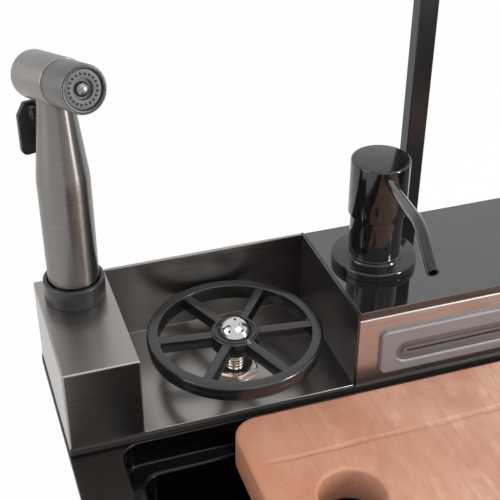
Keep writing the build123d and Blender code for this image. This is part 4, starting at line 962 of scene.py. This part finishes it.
# The dome's jets are near-black cups too: painted shade for the holes.
jet_ring = grown(
    "rinser_jet_ring",
    hole_ring,
    {
        "Count": 6, "Ring radius": 0.008, "Cup radius": 0.0008, "Cup height": 0.0005, "Lean": radians(48.4),
        "Finish": painted_hole_shade,
    },
    on_wheel @ Matrix.Translation((0, 0, 0.0046)) @ Matrix.Rotation(radians(-12.7), 4, "Z"),
)
top_jet = lathe("rinser_top_jet", [(0, 7.9, 0), (0.8, 7.9, 0), (0.8, 8.4, 0.1), (0, 8.4, 0)], on_wheel, 24)
settle(joined("rinser_dome_holes", jet_ring, top_jet), painted_hole_shade, "rinser", "chrome")
valve_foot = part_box("rinser_valve")[0].z
nut_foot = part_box("rinser_lock_nut")[0].z
valve_height = size_of("rinser_valve").z
on_valve = Matrix.Translation((rinser_axis.x, rinser_axis.y, valve_foot))
shank_end = (nut_foot - valve_foot) * 1000 + 2.6
shoulder = 24.0
thread_turns = 14
thread_pitch = (shank_end - shoulder - 1.0) / thread_turns
thread = []
for k in range(thread_turns):
    low = shoulder + 0.5 + k * thread_pitch
    thread += [(9.5, low, 0), (10.2, low + thread_pitch / 2, 0)]
ridge_pitch = 2.5
ridges = []
for k in range(3):
    low = shank_end + 0.3 + k * ridge_pitch
    ridges += [(5.1, low, 0), (6.1, low + 0.8, 0.3), (6.1, low + 1.5, 0.3), (5.1, low + 2.3, 0)]
valve = lathe(
    "rinser_valve_body",
    [(5.0, 0, 0), (8.33, 0, 0.4), (8.33, shoulder, 0), (9.5, shoulder, 0)]
    + thread
    + [(10.2, shank_end - 0.4, 0), (9.6, shank_end, 0), (5.2, shank_end, 0)]
    + ridges
    + [
        (5.1, shank_end + 8.4, 0), (6.1, shank_end + 9, 0), (6.1, valve_height, 0.6), (0, valve_height, 0),
        (0, shank_end - 5, 0), (5.0, shank_end - 5, 0),
    ],
    on_valve,
)
settle(valve, nickel, "sink", "nickel", "rinser_valve")
# A black ring on the shank's end in the nut's recess: a seal, and painted shade that darkens the recess.
seal = lathe(
    "rinser_seal_ring_painted_shade",
    [(6.2, shank_end, 0), (9.8, shank_end, 0.3), (9.8, shank_end + 1.2, 0.5), (6.2, shank_end + 1.2, 0.5)],
    on_valve,
)
settle(seal, satin_black, "sink", "black_satin")
nut_flats, nut_bore, nut_turn = 25.4, 10.3, -36
nut_place = Matrix.Translation((rinser_axis.x, rinser_axis.y, nut_foot))
on_nut = nut_place @ Matrix.Rotation(radians(nut_turn), 4, "Z")
lock_nut = hex_nut("rinser_hex_nut", nut_flats, nut_bore, size_of("rinser_lock_nut").z, on_nut)
settle(lock_nut, nickel, "sink", "nickel", "rinser_lock_nut")
spring_wire = brushed(
    "spring_wire", (0.42, 0.42, 0.43), (0.58, 0.58, 0.59), smooth=0.18, rough=0.32, stretch=ring_lines
)
wound_spring("rinser_coil", "rinser_spring", 4.2, 0.9, 3, rinser_axis)


# The soap dispenser: a turned body with a flange on the glass, a tall cap and a bent spout, all gloss black.
# The cap is pressed down against a spring in the neck; the bottle hangs under the deck.
def above_glass(node):
    """The bottom and top of a solid, in millimetres above the glass."""
    return [(corner.z - glass_level) * 1000 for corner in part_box(node)]


def bent_tube(name, stations, wall, place):
    """A tapered tube through (across, up, radius) stations in millimetres, open at its end."""
    curve = bpy.data.curves.new(name, "CURVE")
    curve.dimensions = "3D"
    curve.bevel_depth = 1.0
    curve.bevel_resolution = 7
    spline = curve.splines.new("NURBS")
    spline.points.add(len(stations) - 1)
    for point, (across, up, radius) in zip(spline.points, stations):
        point.co = (0, -across, up, 1)
        point.radius = radius
    spline.order_u = 3
    spline.use_endpoint_u = True
    spline.resolution_u = 10
    outside = baked(in_scene(name, curve))
    sealed(outside)
    holder = in_scene(name, outside)
    thick = holder.modifiers.new("wall", "SOLIDIFY")
    thick.thickness = wall
    thick.offset = -1.0
    mesh = baked(holder)
    mesh.name = name
    mesh.transform(place @ Matrix.Scale(0.001, 4))
    smooth_faces(mesh)
    return mesh


pump_axis = middle("dispenser_body")
glass_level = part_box("glass_top")[1].z
on_glass = Matrix.Translation((pump_axis.x, pump_axis.y, glass_level))
gloss_black = mottled(
    "gloss_black", grey(0.004), grey(0.008),
    rough=0.12, per_metre=420.0, detail=1.0, smooth=0.08, shine=0.7,
)
foot, neck_top = above_glass("dispenser_body")
body = lathe(
    "dispenser_turned_body",
    [
        (2.0, foot, 0), (12.0, foot, 0.5), (12.0, 0, 0), (26.0, 0, 0.4), (26.0, 5.3, 1.1), (18.2, 5.9, 0.3),
        (17.8, 6.9, 0.5), (15.8, 7.2, 0.4), (15.8, neck_top, 0.5), (9.0, neck_top, 0.3), (9.0, -13.0, 0),
        (2.0, -13.0, 0),
    ],
    on_glass,
    steps=6,
)
settle(body, gloss_black, "sink", "black_gloss", "dispenser_body")
cap_bottom, cap_top = above_glass("pump_cap")
cap = lathe(
    "pump_press_cap",
    [
        (16.1, cap_bottom, 0.2), (17.5, cap_bottom, 0.5), (17.5, cap_top - 0.4, 1.2), (0, cap_top, 0),
        (0, cap_top - 3, 0), (16.1, cap_top - 3, 0),
    ],
    on_glass,
)
settle(cap, gloss_black, "pump_head", "black_gloss", "pump_cap")
spout_wall, spout_turn = 0.9, -11.5
spout = bent_tube(
    "pump_bent_spout",
    [
        (16.6, cap_top - 5.4, 2.43), (31, cap_top - 2.7, 2.6), (48, cap_top + 0.5, 2.9),
        (65.5, cap_top + 3.8, 3.2), (84.5, cap_top + 7.4, 3.2), (102.6, cap_top + 0.7, 3.2),
        (107.8, cap_top - 1.2, 3.2), (113.0, cap_top - 3.1, 3.2),
    ],
    spout_wall,
    on_glass @ Matrix.Rotation(radians(spout_turn), 4, "Z"),
)
settle(spout, gloss_black, "pump_head", "black_gloss", "pump_spout")
milky = mottled("milky_plastic", (0.7, 0.7, 0.67), (0.8, 0.8, 0.77), rough=0.4, per_metre=120.0)
dress(milky, "soap_bottle", "dip_tube", "pump_guide", "pump_stem")
wound_spring("pump_coil", "pump_spring", 6.6, 1.2, 7, pump_axis)

# The drain: a polished steel flange clamped to the bowl's floor, with a strainer basket that lifts out.
# The overflow's cover is pressed from the same steel and fixed on the rear wall.
dress(plain_steel, "drain_flange", "strainer_basket", "overflow_cover")

# The slim tap, the mixer knob and the keys: a column and spout of square bar and a turned knob,
# coated satin black, two moulded keys in gloss black beside the knob, and a steel aerator screwed
# into the tap's end.
tap_black = mottled(
    "tap_black", grey(0.009), grey(0.014), rough=0.2, per_metre=1800.0, bumps=(0.03, 0.0001), shine=0.35
)
dress(tap_black, "tap_base", "tap_column", "tap_spout", "mixer_knob")
dress(gloss_black, "tap_key", "waterfall_key")
dress(plain_steel, "tap_aerator")


# The chopping board: solid reddish hardwood with rounded edges and a bored finger hole.
# It lies loose on the bowl's ledge, and knives have worn a shallow line along its rear.
def groove_tool(length, from_middle, surface):
    """What a worn knife line takes away: a shallow hollow that wanders, along X, in millimetres."""
    shape = bmesh.new()
    rings = []
    steps = int(length / 3)
    for k in range(steps + 1):
        x = length * (k / steps - 0.5)
        fade = min(1.0, k / 6, (steps - k) / 6)
        deep = fade * (0.8 + 0.22 * sin(x / 23) + 0.16 * sin(x / 5.1 + 1)) - 0.02
        wide = 2.4 + 0.4 * sin(x / 31 + 2) + 0.3 * sin(x / 8.3)
        y = from_middle + 0.5 * sin(x / 41) + 0.3 * sin(x / 13 + 1) + 0.12 * sin(x / 4.7)
        section = [
            (-wide, 1), (-wide, 0.02), (-0.6 * wide, -0.6 * deep), (0, -deep), (0.6 * wide, -0.6 * deep),
            (wide, 0.02), (wide, 1),
        ]
        rings.append([shape.verts.new((x, y + across, surface + up)) for across, up in section])
    skin(shape, rings)
    shape.faces.new(rings[0])
    shape.faces.new(rings[-1])
    return as_mesh(shape, "groove_tool")


def cut_away(mesh, tool):
    """Takes one closed mesh out of another."""
    piece = in_scene(mesh.name, mesh)
    cutter = in_scene(tool.name, tool)
    cut = piece.modifiers.new("cut", "BOOLEAN")
    cut.operation = "DIFFERENCE"
    cut.solver = "EXACT"
    cut.object = cutter
    made = baked(piece)
    bpy.data.objects.remove(cutter)
    made.name = mesh.name
    return made


def over(made, under, pattern, colour, start, end, most):
    """Lays a colour over another where a pattern is high."""
    tree = made.node_tree
    amount = tree.nodes.new("ShaderNodeMapRange")
    amount.inputs["From Min"].default_value = start
    amount.inputs["From Max"].default_value = end
    amount.inputs["To Max"].default_value = most
    mix = tree.nodes.new("ShaderNodeMix")
    mix.data_type = "RGBA"
    share, below, above, result = mix.inputs[0], mix.inputs[6], mix.inputs[7], mix.outputs[2]
    above.default_value = (*colour, 1)
    tree.links.new(pattern, amount.inputs["Value"])
    tree.links.new(amount.outputs["Result"], share)
    tree.links.new(under, below)
    tree.links.new(result, shader_of(made).inputs["Base Color"])
    return result


board_width, board_depth, board_thickness = size_of("chopping_board")
finger_hole = 18.4
hole_from_left, hole_from_rear = 45.2, 73.3
line_from_rear, line_margin = 38.0, 5.0
board = plate(
    "wooden_board",
    [
        rounded_box(board_width, board_depth, 15.0, 8),
        circle(finger_hole, 64, hole_from_left - board_width / 2, board_depth / 2 - hole_from_rear),
    ],
    board_thickness,
    edge=2.2,
    steps=5,
)
worn = groove_tool(board_width - 2 * line_margin, board_depth / 2 - line_from_rear, board_thickness / 2)
board = cut_away(board, worn)
smooth_sides(board)
board.transform(Matrix.Translation(middle("chopping_board")))
wood = coat("board_wood", (0.52, 0.29, 0.2), 0.0, 0.6)
mottling = grain(wood, 26.0, (1, 0.55, 1), 9.0)
clouds = grain(wood, 110.0, (1, 0.4, 1), 6.0)
fibres = grain(wood, 420.0, (1, 0.05, 1), 5.0)
pores = grain(wood, 900.0, (1, 0.12, 1), 2.0)
colour = tint(wood, mottling, (0.41, 0.188, 0.12), (0.59, 0.345, 0.245), 0.34, 0.66)
colour = over(wood, colour, clouds, (0.66, 0.43, 0.33), 0.54, 0.75, 0.5)
colour = over(wood, colour, fibres, (0.38, 0.17, 0.11), 0.52, 0.8, 0.6)
colour = over(wood, colour, pores, (0.27, 0.12, 0.08), 0.64, 0.74, 0.7)
own_place = wood.node_tree.nodes.new("ShaderNodeTexCoord")
ends = wood.node_tree.nodes.new("ShaderNodeSeparateXYZ")
wood.node_tree.links.new(own_place.outputs["Object"], ends.inputs["Vector"])
left_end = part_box("chopping_board")[0].x
over(wood, colour, ends.outputs["X"], (0.41, 0.155, 0.078), left_end + 0.12, left_end, 0.7)
relief(wood, fibres, 0.3, 0.0003)
settle(board, wood, "board", "wood", "chopping_board")
